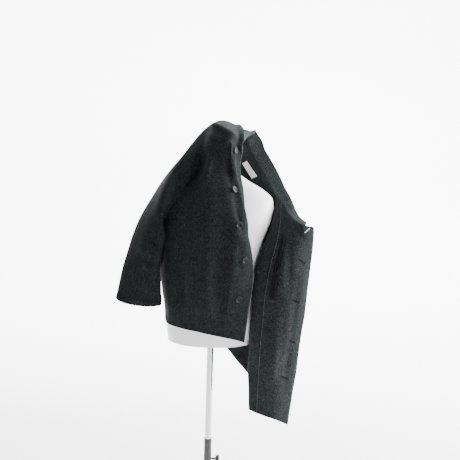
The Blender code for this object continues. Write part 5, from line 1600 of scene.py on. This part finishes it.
# ---------------------------------------------------------------- buttons
def fine_button(name, at, n, lift, node):
    zaxis = Vector(n)
    xaxis = Vector((0, 0, 1)).cross(zaxis).normalized()
    yaxis = zaxis.cross(xaxis)
    base = Vector(at) + zaxis * lift
    seg = 48
    R, T3 = BUTTON_R, BUTTON_T
    rows = [(0.80, 0.00), (0.90, 0.02), (0.97, 0.12), (1.0, 0.30), (1.0, 0.55), (0.975, 0.78), (0.93, 0.93),
            (0.87, 1.0), (0.80, 0.99), (0.74, 0.92), (0.69, 0.80), (0.65, 0.66), (0.61, 0.57), (0.56, 0.52),
            (0.50, 0.50), (0.44, 0.49), (0.39, 0.485), (0.34, 0.48), (0.29, 0.475), (0.24, 0.47), (0.19, 0.47),
            (0.14, 0.465), (0.08, 0.46)]
    verts, faces = [], []
    for rr, h in rows:
        for k in range(seg):
            t = 2 * math.pi * k / seg
            x, y = rr * R * math.cos(t), rr * R * math.sin(t)
            z = h * T3
            if 0.1 < rr < 0.6 and h > 0.3:
                for hx, hy in ((1, 1), (1, -1), (-1, 1), (-1, -1)):
                    d = math.hypot(x - hx * 2.2, y - hy * 2.2)
                    z -= 1.1 * max(0.0, 1 - (d / 1.35) ** 2) ** 0.5 if d < 1.35 else 0.0
            verts.append(base + xaxis * x + yaxis * y + zaxis * z)
    for i in range(len(rows) - 1):
        for k in range(seg):
            q = (k + 1) % seg
            faces.append((i * seg + k, i * seg + q, (i + 1) * seg + q, (i + 1) * seg + k))
    faces.append(tuple(range(seg))[::-1])
    faces.append(tuple((len(rows) - 1) * seg + k for k in range(seg)))
    o = link(name, verts, faces, horn_dark, angle=50)
    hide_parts(node)
    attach(o, "form")
    tv, tf = [], []
    for hy in (-2.2, 2.2):
        for dx in (-0.35, 0.35):
            a = base + xaxis * -2.3 + yaxis * (hy + dx) + zaxis * (0.50 * T3)
            b = base + xaxis * 2.3 + yaxis * (hy + dx) + zaxis * (0.50 * T3)
            capsule(tv, tf, a, b, zaxis, 0.34, 0.1)
    th = link(name + "_thread", tv, tf, thread_dark)
    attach(th, "form")
    # the thread shank under the button
    sv, sf = [], []
    foot = Vector(at) + zaxis * (CLOTH / 2 - 0.4)
    for k in range(10):
        t = 2 * math.pi * k / 10
        off = (xaxis * math.cos(t) + yaxis * math.sin(t)) * 1.5
        capsule(sv, sf, foot + off * 1.25, base + off + zaxis * 0.3, xaxis, 0.55, 0.0)
    sh = link(name + "_shank", sv, sf, thread_dark)
    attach(sh, "form")


fine_fr = tree_of(vis["front_r"])
for k in range(5):
    at_c, n_c = button_place(BUTTON_FIRST + k * BUTTON_PITCH, BUTTON_FROM_EDGE[k])
    lift = lift_clear(at_c, n_c)
    # clear of the creased cloth as well
    zaxis = Vector(n_c)
    xaxis = Vector((0, 0, 1)).cross(zaxis).normalized()
    yaxis = zaxis.cross(xaxis)
    high = 0.0
    for r in (0.0, BUTTON_R * 0.5, BUTTON_R * 0.9):
        for t in (math.pi * j / 8 for j in range(16)):
            p = Vector(at_c) + (xaxis * math.cos(t) + yaxis * math.sin(t)) * r
            hit = fine_fr.ray_cast(p + zaxis * 25, -zaxis)[0]
            if hit is not None:
                high = max(high, float((hit - Vector(at_c)).dot(zaxis)))
    fine_button("button_%d" % (k + 1), at_c, n_c, max(lift - 0.8, high + CLOTH / 2 + 0.3), "jacket_button_%d" % (k + 1))


# ---------------------------------------------------------------- the form
def fine_form():
    seg, zs = 128, np.linspace(FORM[0][1], 1500, 200)
    raw = np.array([form_at(z) for z in zs])
    k = np.array([1, 2, 3, 4, 3, 2, 1], float)
    k /= k.sum()
    pad = np.concatenate([raw[:1]] * 3 + [raw] + [raw[-1:]] * 3)
    sm = np.stack([np.convolve(pad[:, c], k, mode="valid") for c in range(5)], axis=1)
    sm[:, :2] = np.minimum(sm[:, :2], raw[:, :2] + 0.4)
    verts, faces = [], []
    rows = []
    for z, (a, b, x0, y0, q) in zip(zs, sm):
        ring = []
        for s in range(seg):
            t = 2 * math.pi * s / seg
            c, sn = math.cos(t), math.sin(t)
            x, y = a * math.copysign(abs(c) ** (2 / q), c), b * math.copysign(abs(sn) ** (2 / q), sn)
            # panel joints: centre front, centre back and two at each side, as fine grooves
            deg = math.degrees(t) % 360
            dip = 0.0
            for line_at in (90, 270, 232, 308, 128, 52, 0, 180):
                d = abs((deg - line_at + 180) % 360 - 180)
                dip = max(dip, 0.55 * math.exp(-(d / 1.3) ** 2))
            dip *= min(1.0, max(0.0, (1420 - z) / 20)) * min(1.0, (z - 776) / 6 + 0.2)
            r = math.hypot(x, y)
            f = (r - dip) / r
            ring.append((x0 + x * f, y0 + y * f, z))
        rows.append(ring)
    # rounded bottom edge
    a, b, x0, y0, q = sm[0]
    under = []
    for step, (draw, drop) in enumerate(((2.0, 0.0), (6.0, 0.0))):
        ring = []
        for s in range(seg):
            t = 2 * math.pi * s / seg
            c, sn = math.cos(t), math.sin(t)
            ring.append((x0 + (a - draw) * math.copysign(abs(c) ** (2 / q), c),
                         y0 + (b - draw) * math.copysign(abs(sn) ** (2 / q), sn), zs[0]))
        under.append(ring)
    rows = under[::-1] + rows
    top = [(CAP["x"] + CAP["r"] * math.cos(2 * math.pi * s / seg), CAP["y"] + CAP["r"] * math.sin(2 * math.pi * s / seg))
           for s in range(seg)]
    for f in (0.33, 0.66, 1.0):
        rows.append([(rows[-1][s][0] * (1 - f) + x * f, rows[-1][s][1] * (1 - f) + y * f,
                      rows[-1][s][2] * (1 - f) + (cap_z(x, y) - CAP["thick"] - 0.2) * f)
                     for s, (x, y) in enumerate(top)])
    for ring in rows:
        verts += ring
    for i in range(len(rows) - 1):
        for s in range(seg):
            n = (s + 1) % seg
            faces.append((i * seg + s, i * seg + n, (i + 1) * seg + n, (i + 1) * seg + s))
    faces.append(tuple(range(seg))[::-1])
    faces.append(tuple((len(rows) - 1) * seg + s for s in range(seg)))
    return link("form_shell", verts, faces, form_mat, angle=50)


made["form"] = fine_form()
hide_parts("form_torso")
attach(made["form"], "form")


def fine_cap():
    seg = 96
    r = CAP["r"] + CAP["over"]
    rows = [(r - 0.8, -CAP["thick"]), (r - 0.2, -CAP["thick"] + 0.4), (r, -CAP["thick"] + 1.2), (r, -4.0), (r - 0.1, -3.0),
            (r - 0.5, -2.0), (r - 1.3, -0.9), (r - 2.4, -0.25), (r - 4.0, 0.0), (r - 12, 0.0), (r - 24, 0.0), (4.0, 0.0)]
    verts, faces = [], []
    for rr, h in rows:
        for s in range(seg):
            t = 2 * math.pi * s / seg
            x, y = CAP["x"] + rr * math.cos(t), CAP["y"] + rr * math.sin(t)
            verts.append((x, y, cap_z(x, y) + h))
    for i in range(len(rows) - 1):
        for s in range(seg):
            n = (s + 1) % seg
            faces.append((i * seg + s, i * seg + n, (i + 1) * seg + n, (i + 1) * seg + s))
    faces.append(tuple(range(seg))[::-1])
    faces.append(tuple((len(rows) - 1) * seg + s for s in range(seg)))
    return link("form_cap", verts, faces, cap_mat, angle=40)


made["cap"] = fine_cap()
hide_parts("form_neck_cap")
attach(made["cap"], "form")

for node, mat in (("stand_pole", chrome_mat), ("stand_tube", black_mat), ("stand_base", black_mat),
                  ("stand_clamp_knob", black_mat)):
    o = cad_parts[node]
    o.data.materials.clear()
    o.data.materials.append(mat)

# ---------------------------------------------------------------- how each sheet was cut
SHEETS = [("front_r", "draped", False, ["form_shell", "form_cap"]), ("front_l", "draped", False, ["form_shell"]),
          ("back", "draped", False, ["form_shell"]), ("sleeve_r", "hung", True, ["cloth_front_right", "cloth_back"]),
          ("sleeve_l", "hung", True, ["cloth_front_left", "cloth_back"]),
          ("collar", "hung", False, ["cloth_front_right", "cloth_front_left", "cloth_back"])]
for p, held, wrap, rests in SHEETS:
    w, h, area = flat_of(vis[p], wrap)
    print("CUT %s %.3f x %.3f m, %.4f m2" % (p, w, h, area))
for p, g, held, rests in (("facing", g_fa, "draped", ["cloth_front_left"]), ("welt", g_we, "draped", ["cloth_facing_left"]),
                          ("label", g_la, "draped", ["cloth_back"])):
    w, h, area = flat_of(g)
    print("CUT %s %.3f x %.3f m, %.4f m2" % (p, w, h, area))

# ---------------------------------------------------------------- studio
GLOW = 6.0


def studio_material(name, rgb):
    m, nt, b = base_material(name)
    where = nt.nodes.new("ShaderNodeTexCoord").outputs["Object"]
    soft = noise(nt, where, 1.2, 2, 0.5)
    nt.links.new(ramp(nt, soft, [(0.3, tuple(c * 0.985 for c in rgb)), (0.7, rgb)]), b.inputs["Base Color"])
    b.inputs["Roughness"].default_value = 0.9
    # the far wall is brightly lit: it glows evenly from the floor's far end upward
    xyz = nt.nodes.new("ShaderNodeSeparateXYZ")
    nt.links.new(where, xyz.inputs[0])
    rise = nt.nodes.new("ShaderNodeMapRange")
    rise.interpolation_type = "SMOOTHSTEP"
    rise.inputs["From Min"].default_value = 0.6
    rise.inputs["From Max"].default_value = 2.7
    rise.inputs["To Min"].default_value = 0.0
    rise.inputs["To Max"].default_value = GLOW
    nt.links.new(xyz.outputs["Y"], rise.inputs["Value"])
    b.inputs["Emission Color"].default_value = (1.0, 1.0, 1.0, 1.0)
    nt.links.new(rise.outputs["Result"], b.inputs["Emission Strength"])
    return m


def sweep():
    """Floor that runs up into a backdrop in one curve."""
    prof = [(-9.0, 0.0), (-3.0, 0.0), (1.2, 0.0)]
    for k in range(1, 13):
        t = math.pi / 2 * k / 12
        prof.append((1.2 + 1.6 * math.sin(t), 1.6 - 1.6 * math.cos(t)))
    prof += [(2.8, 3.2), (2.8, 7.0)]
    verts, faces = [], []
    for y, z in prof:
        for x in (-7.0, 7.0):
            verts.append((x * 1000, y * 1000, z * 1000 - 0.5))
    for i in range(len(prof) - 1):
        faces.append((2 * i, 2 * i + 1, 2 * i + 3, 2 * i + 2))
    o = link("studio_sweep", verts, faces, studio_material("studio_white", (0.93, 0.93, 0.935)), angle=80)
    return o


sweep()
world = bpy.data.worlds.new("studio")
bpy.context.scene.world = world
world.use_nodes = True
bg = world.node_tree.nodes["Background"]
bg.inputs["Color"].default_value = (0.97, 0.98, 1.0, 1.0)
bg.inputs["Strength"].default_value = 0.08


def soft_light(name, at, aim, size, power, rgb=(1, 1, 1)):
    d = bpy.data.lights.new(name, "AREA")
    d.shape = "RECTANGLE"
    d.size, d.size_y = size
    d.energy = power
    d.color = rgb
    o = bpy.data.objects.new(name, d)
    bpy.context.scene.collection.objects.link(o)
    o.location = at
    o.rotation_euler = (Vector(aim) - Vector(at)).to_track_quat("-Z", "Y").to_euler()
    return o


soft_light("from_right", (2.7, 0.1, 2.0), (0.1, 0, 1.2), (1.3, 1.8), 330)
soft_light("from_above", (0.5, 1.9, 3.1), (0.0, 0, 1.3), (1.6, 1.2), 110)
soft_light("front_fill", (1.7, -2.8, 1.2), (0, 0, 1.1), (1.4, 1.4), 24)
soft_light("backdrop_wash", (0.0, 0.0, 4.9), (0.0, 2.8, 1.2), (6.0, 1.6), 300)

# ---------------------------------------------------------------- camera
cam_d = bpy.data.cameras.new("photo_camera")
cam_d.lens = 36.0 * 637.0 / 460.0
cam_d.sensor_width = 36.0
cam_o = bpy.data.objects.new("photo_camera", cam_d)
bpy.context.scene.collection.objects.link(cam_o)
PITCH, ROLL = math.radians(8.8), math.radians(1.7)
f = Vector((0, math.cos(PITCH), -math.sin(PITCH)))
r = Vector((1, 0, 0))
u = r.cross(f)
c, s = math.cos(ROLL), math.sin(ROLL)
r2 = c * r + s * u
u2 = -s * r + c * u
M = Matrix(((r2.x, u2.x, -f.x), (r2.y, u2.y, -f.y), (r2.z, u2.z, -f.z))).to_4x4()
M.translation = (0.05995, -2.26, 1.53)
cam_o.matrix_world = M
bpy.context.scene.camera = cam_o
